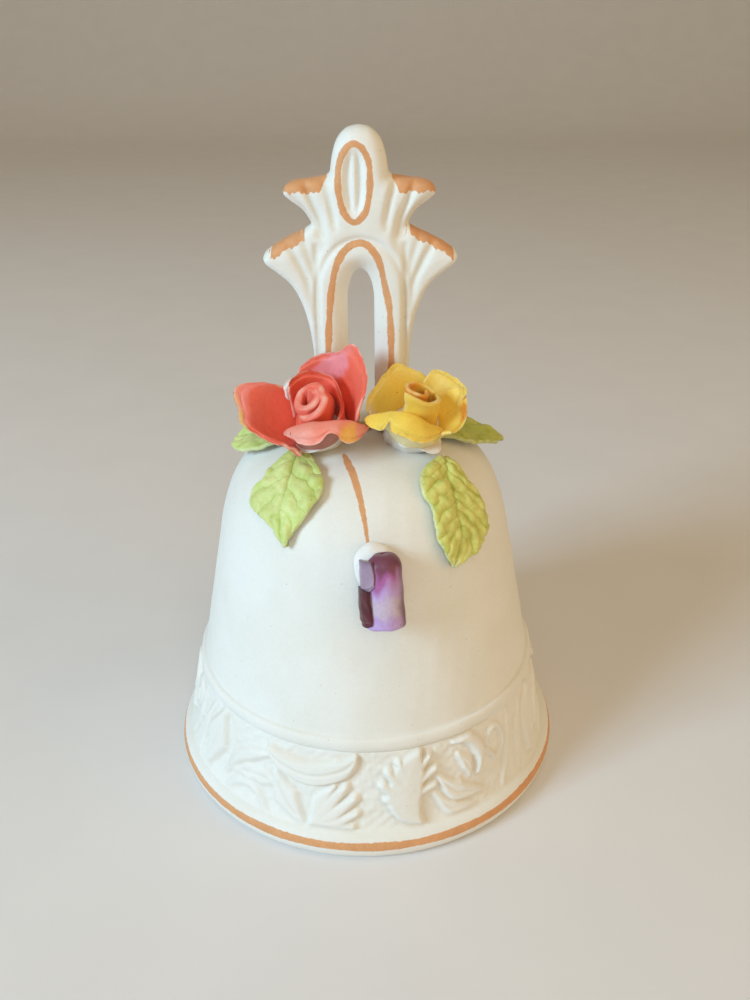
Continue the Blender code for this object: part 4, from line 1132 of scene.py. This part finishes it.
def make_bud():
    where = flower_frame((2.95, -29.6, 61.7), 163.0, 3.0)

    def main_colours(u, t, face, points):
        local = (points - where[1]) @ where[0]
        turn = np.degrees(np.arctan2(local[:, 1], local[:, 0]))
        cloud = wobble(points, 3.0, 71)
        tint = mix(np.broadcast_to(MAUVE, (len(u), 3)), srgb(176, 104, 168), smoothstep((local[:, 2] - 2.4 + 0.8 * cloud) / 1.8))
        tint = mix(tint, srgb(198, 170, 232), smoothstep((local[:, 2] - 4.6 + 0.9 * cloud + 0.5 * (points[:, 0] - 2.5)) / 2.6))
        front = local[:, 0] * 0.3 + local[:, 1]
        tint = mix(tint, srgb(214, 204, 226), 0.75 * smoothstep((local[:, 2] - 6.4 + 0.8 * cloud) / 2.2) * smoothstep((11.6 - local[:, 2] + 0.8 * cloud) / 1.6))
        # Painted shade: the bud darkens towards its right side, away from the key light.
        sideways = points[:, 0] - 3.6 - 0.25 * (62 - points[:, 2]) * 0.1
        tint = mix(tint, srgb(112, 66, 92), 0.85 * smoothstep((sideways - 1.6 + 0.2 * cloud) / 1.2))
        tint = mix(tint, srgb(90, 46, 70), 0.8 * smoothstep((local[:, 2] - 13.0 + 0.2 * cloud) / 0.5))
        # Painted shade: the inner face of the rolled bud is a dimmed copy of its mauve.
        return mix(tint, MAUVE * 0.6, smoothstep(-face - 0.3) * 0.7)

    add_roll(
        "bud_main", where, 380, 500, 1.2, 3.25, 0.4, 12.6, main_colours, "bud_main_petal", "lilac_petal",
        slope=0.0, taper=-0.06, finish=BUD_FINISH, seed=72, thickness=1.0, dome=0.2,
    )  # fmt: skip
    add_petal(
        "bud_side", where,
        dict(turn=152, lean=2, curl=4, length=5.4, start=(3.55, 1.1), width=2.3, cup=4.0, foot=0.8, drop=0.22, roll=0.0),
        shades(GREY_LILAC, srgb(120, 92, 122), srgb(190, 168, 196), srgb(104, 70, 96), 0.08),
        "bud_side_petal", "lilac_petal", BUD_FINISH, thickness=0.8, seed=73, ragged=0.06,
    )  # fmt: skip
    add_petal(
        "bud_strip", where,
        dict(turn=158, lean=0, curl=2, length=6.7, start=(4.15, 6.0), width=2.3, cup=4.2, foot=0.9, drop=0.1, roll=0.0),
        shades(MAROON, srgb(64, 18, 36), srgb(112, 40, 66), srgb(70, 30, 50), 0.05),
        "bud_strip_petal", "maroon_petal", BUD_FINISH, thickness=0.8, seed=74, ragged=0.06,
    )  # fmt: skip

    centre = np.array((1.5, -28.45, 58.1))
    fall = math.radians(14)
    up = np.array((0.0, math.sin(fall), math.cos(fall)))
    out = np.array((0.0, -math.cos(fall), math.sin(fall)))
    right = np.array((1.0, 0.0, 0.0))

    def calyx(angle, rise):
        spread = np.sqrt(np.clip(1 - rise**2, 0, 1))
        edge = 1 + 0.03 * wobble(np.stack((np.cos(angle), np.sin(angle)), -1) * 3, 4, 75) + 0.05 * np.sin(2 * angle) ** 2
        points = centre + right * (3.45 * edge * spread * np.cos(angle))[..., None]
        points = points + up * (4.15 * edge * spread * np.sin(angle))[..., None]
        return points + out * (2.4 * rise - 0.5)[..., None]

    add_mound("bud_slip", "bud_calyx", calyx, 64, 24)


# ---------------------------------------------------------------- pin and clapper


def tube(line, radius, sides=14, closed=False):
    """Points and faces of a round wire along a line of points."""
    line = np.asarray(line, float)
    if closed:
        ahead = np.roll(line, -1, 0) - np.roll(line, 1, 0)
    else:
        ahead = np.gradient(line, axis=0)
    ahead /= np.linalg.norm(ahead, axis=1, keepdims=True)
    helper = np.array((0.31, 0.52, 0.79))
    first = np.cross(ahead, helper)
    first /= np.linalg.norm(first, axis=1, keepdims=True)
    second = np.cross(ahead, first)
    turn = 2 * math.pi * np.arange(sides) / sides
    radius = np.broadcast_to(radius, len(line))[:, None, None]
    ring = first[:, None] * np.cos(turn)[None, :, None] + second[:, None] * np.sin(turn)[None, :, None]
    points = (line[:, None] + ring * radius).reshape(-1, 3)
    index = np.arange(len(line) * sides).reshape(len(line), sides)
    if closed:
        index = np.vstack((index, index[:1]))
    index = np.hstack((index, index[:, :1]))
    faces = np.stack((index[:-1, :-1], index[:-1, 1:], index[1:, 1:], index[1:, :-1]), -1).reshape(-1, 4)
    faces = [tuple(face) for face in faces]
    if not closed:
        faces += [tuple(index[0, :-1][::-1]), tuple(index[-1, :-1])]
    return points, faces


def joined(parts):
    points, faces, start = [], [], 0
    for some, their in parts:
        points.append(some)
        faces += [tuple(int(i) + start for i in face) for face in their]
        start += len(some)
    return np.vstack(points), faces


def turned(profile, steps=48):
    """A body turned about Z from (radius, height) rows that start and end on the axis."""
    profile = np.array(profile, float)
    turn = 2 * math.pi * np.arange(steps) / steps
    middle = profile[1:-1]
    ring = np.stack(
        (middle[None, :, 0] * np.cos(turn)[:, None], middle[None, :, 0] * np.sin(turn)[:, None], np.broadcast_to(middle[:, 1], (steps, len(middle)))), -1
    ).reshape(-1, 3)
    count = len(middle)
    faces = [tuple(face)[::-1] for face in quads(steps, count, ring=True)]
    base = len(ring)
    points = np.vstack((ring, [[0, 0, profile[0][1]], [0, 0, profile[-1][1]]]))
    for step in range(steps):
        here, there = step * count, (step + 1) % steps * count
        faces.append((here, there, base))
        faces.append((there + count - 1, here + count - 1, base + 1))
    return points, faces


def circle(centre, radius, plane, count=40):
    turn = 2 * math.pi * np.arange(count) / count
    points = np.zeros((count, 3)) + centre
    points[:, plane[0]] += radius * np.cos(turn)
    points[:, plane[1]] += radius * np.sin(turn)
    return points


def make_pin_and_clapper():
    turn = np.radians(np.linspace(90, 0, 9))
    head = np.stack((1.7 * np.cos(turn), CROWN_TOP + 0.3 + 0.9 * np.sin(turn)), 1)
    profile = list(head) + [(0.85, CROWN_TOP + 0.3), (0.85, PIVOT + 2 * EYE), (0.0, PIVOT + 2 * EYE - 0.3)]
    eye = tube(circle((0, 0, PIVOT + EYE), EYE, (0, 2)), WIRE, closed=True)
    put("pin_with_eye", *joined([turned(profile), eye]), "hanger", "wire", BRASS, ["hanger_pin"])
    end = BALL_HEIGHT - BALL - 0.3
    loop = tube(circle((0, 0, PIVOT), LOOP, (1, 2)), WIRE, closed=True)
    drop = np.stack((np.zeros(30), np.zeros(30), np.linspace(PIVOT - LOOP, end - 0.9, 30)), 1)
    wraps = np.linspace(0, 3 * 2 * math.pi, 70)
    coil = np.stack((1.0 * np.cos(wraps), 1.0 * np.sin(wraps), PIVOT - LOOP - 1.0 - wraps * 0.18), 1)
    stop = turned([(0, end), (1.1, end - 0.02), (1.55, end - 0.4), (1.6, end - 0.8), (1.5, end - 1.3), (1.0, end - 1.58), (0, end - 1.6)])
    put(
        "clapper_rod", *joined([loop, tube(drop, WIRE), tube(coil, 0.32, 10), stop]), "clapper", "wire", BRASS,
        ["clapper_wire"],
    )  # fmt: skip
    start = math.asin(BALL_BORE / BALL)
    angle = np.linspace(start, math.pi - start, 48)
    outer = np.stack((BALL * np.sin(angle), BALL_HEIGHT + BALL * np.cos(angle)), 1)
    bore = np.stack((np.full(6, BALL_BORE - 0.001), np.linspace(outer[-1, 1], outer[0, 1], 6)), 1)
    rows = np.vstack((outer, bore))
    steps = 72
    turn = 2 * math.pi * np.arange(steps) / steps
    points = np.stack(
        (rows[None, :, 0] * np.cos(turn)[:, None], rows[None, :, 0] * np.sin(turn)[:, None], np.broadcast_to(rows[:, 1], (steps, len(rows)))), -1
    )
    index = np.arange(steps * len(rows)).reshape(steps, len(rows))
    index = np.vstack((index, index[:1]))
    index = np.hstack((index, index[:, :1]))
    faces = np.stack((index[:-1, :-1], index[:-1, 1:], index[1:, 1:], index[1:, :-1]), -1).reshape(-1, 4)
    points = points.reshape(-1, 3)
    put(
        "porcelain_ball", points, faces, "clapper", "bisque", BODY, ["clapper_ball"],
        tint=np.broadcast_to(BISQUE, (len(points), 3)), tan=np.full(len(points), -3.0),
    )  # fmt: skip


# ---------------------------------------------------------------- room


def make_room():
    """A pale floor that sweeps up behind."""
    u, v = np.meshgrid(np.linspace(-1, 1, 9), np.linspace(0, 1, 60), indexing="ij")
    flat = 1500 * np.clip(v / 0.5, 0, 1) - 500
    turn = math.pi / 2 * np.clip((v - 0.5) / 0.25, 0, 1)
    y = flat + 400 * np.sin(turn)
    z = 400 * (1 - np.cos(turn)) + 1200 * np.clip((v - 0.75) / 0.25, 0, 1)
    points = np.stack((1800 * u, y, z), -1).reshape(-1, 3)
    mesh = bpy.data.meshes.new("floor")
    mesh.from_pydata((points * MM).tolist(), [], [tuple(face) for face in quads(9, 60)])
    mesh.shade_smooth()
    floor = bpy.data.objects.new("floor", mesh)
    bpy.context.scene.collection.objects.link(floor)
    paper = bpy.data.materials.new("paper")
    paper.use_nodes = True
    tree = paper.node_tree
    place = node(tree, "ShaderNodeTexCoord").outputs["Object"]
    colour = mix_colour(tree, noise(tree, place, 40.0), srgb(226, 226, 228), srgb(233, 233, 234))
    shader = tree.nodes["Principled BSDF"]
    tree.links.new(colour, shader.inputs["Base Color"])
    shader.inputs["Roughness"].default_value = 0.9
    mesh.materials.append(paper)


def add_light(name, place, size, power, colour, target=(0, 0, 0.06)):
    light = bpy.data.lights.new(name, "AREA")
    light.shape = "RECTANGLE"
    light.size, light.size_y = size
    light.energy = power
    light.color = colour
    obj = bpy.data.objects.new(name, light)
    bpy.context.scene.collection.objects.link(obj)
    obj.location = place
    obj.rotation_mode = "QUATERNION"
    obj.rotation_quaternion = (Vector(target) - Vector(place)).to_track_quat("-Z", "Y")
    return obj


def make_light():
    add_light("key", (-0.66, -0.46, 0.44), (0.3, 0.3), 6.1, (0.56, 0.8, 1.0))
    add_light("front", (0.1, -0.8, 0.62), (0.4, 0.4), 1.3, (1.0, 0.9, 0.76))
    add_light("top", (0.05, -0.25, 0.9), (0.7, 0.7), 1.3, (1.0, 0.92, 0.78))
    add_light("warm", (0.74, -0.32, 0.25), (0.5, 0.5), 1.5, (1.0, 0.6, 0.22))
    world = bpy.data.worlds.new("soft")
    world.use_nodes = True
    world.node_tree.nodes["Background"].inputs["Color"].default_value = (1.0, 0.73, 0.4, 1.0)
    world.node_tree.nodes["Background"].inputs["Strength"].default_value = 0.3
    bpy.context.scene.world = world


def make_camera():
    pitch, yaw, roll = (math.radians(value) for value in (PITCH, YAW, ROLL))
    forward = Vector((math.sin(yaw) * math.cos(pitch), math.cos(yaw) * math.cos(pitch), -math.sin(pitch)))
    right = Vector((math.cos(yaw), -math.sin(yaw), 0))
    up = right.cross(forward)
    across = right * math.cos(roll) + up * math.sin(roll)
    upward = up * math.cos(roll) - right * math.sin(roll)
    data = bpy.data.cameras.new("camera")
    data.lens = LENS
    data.sensor_width = 36.0
    data.clip_start = 0.01
    data.clip_end = 20.0
    camera = bpy.data.objects.new("camera", data)
    turn = Matrix((across, upward, -forward)).transposed().to_4x4()
    camera.matrix_world = Matrix.Translation((0.0, -0.1676, 0.1438)) @ turn
    bpy.context.scene.collection.objects.link(camera)
    bpy.context.scene.camera = camera


make_shell()
make_handle()
make_red_rose()
make_yellow_rose()
for leaf in LEAVES:
    add_leaf(**leaf)
for pad in PADS:
    add_pad(**pad)
make_bud()
make_pin_and_clapper()
make_room()
make_light()
make_camera()
bpy.context.scene.view_settings.view_transform = "Standard"
bpy.context.view_layer.update()
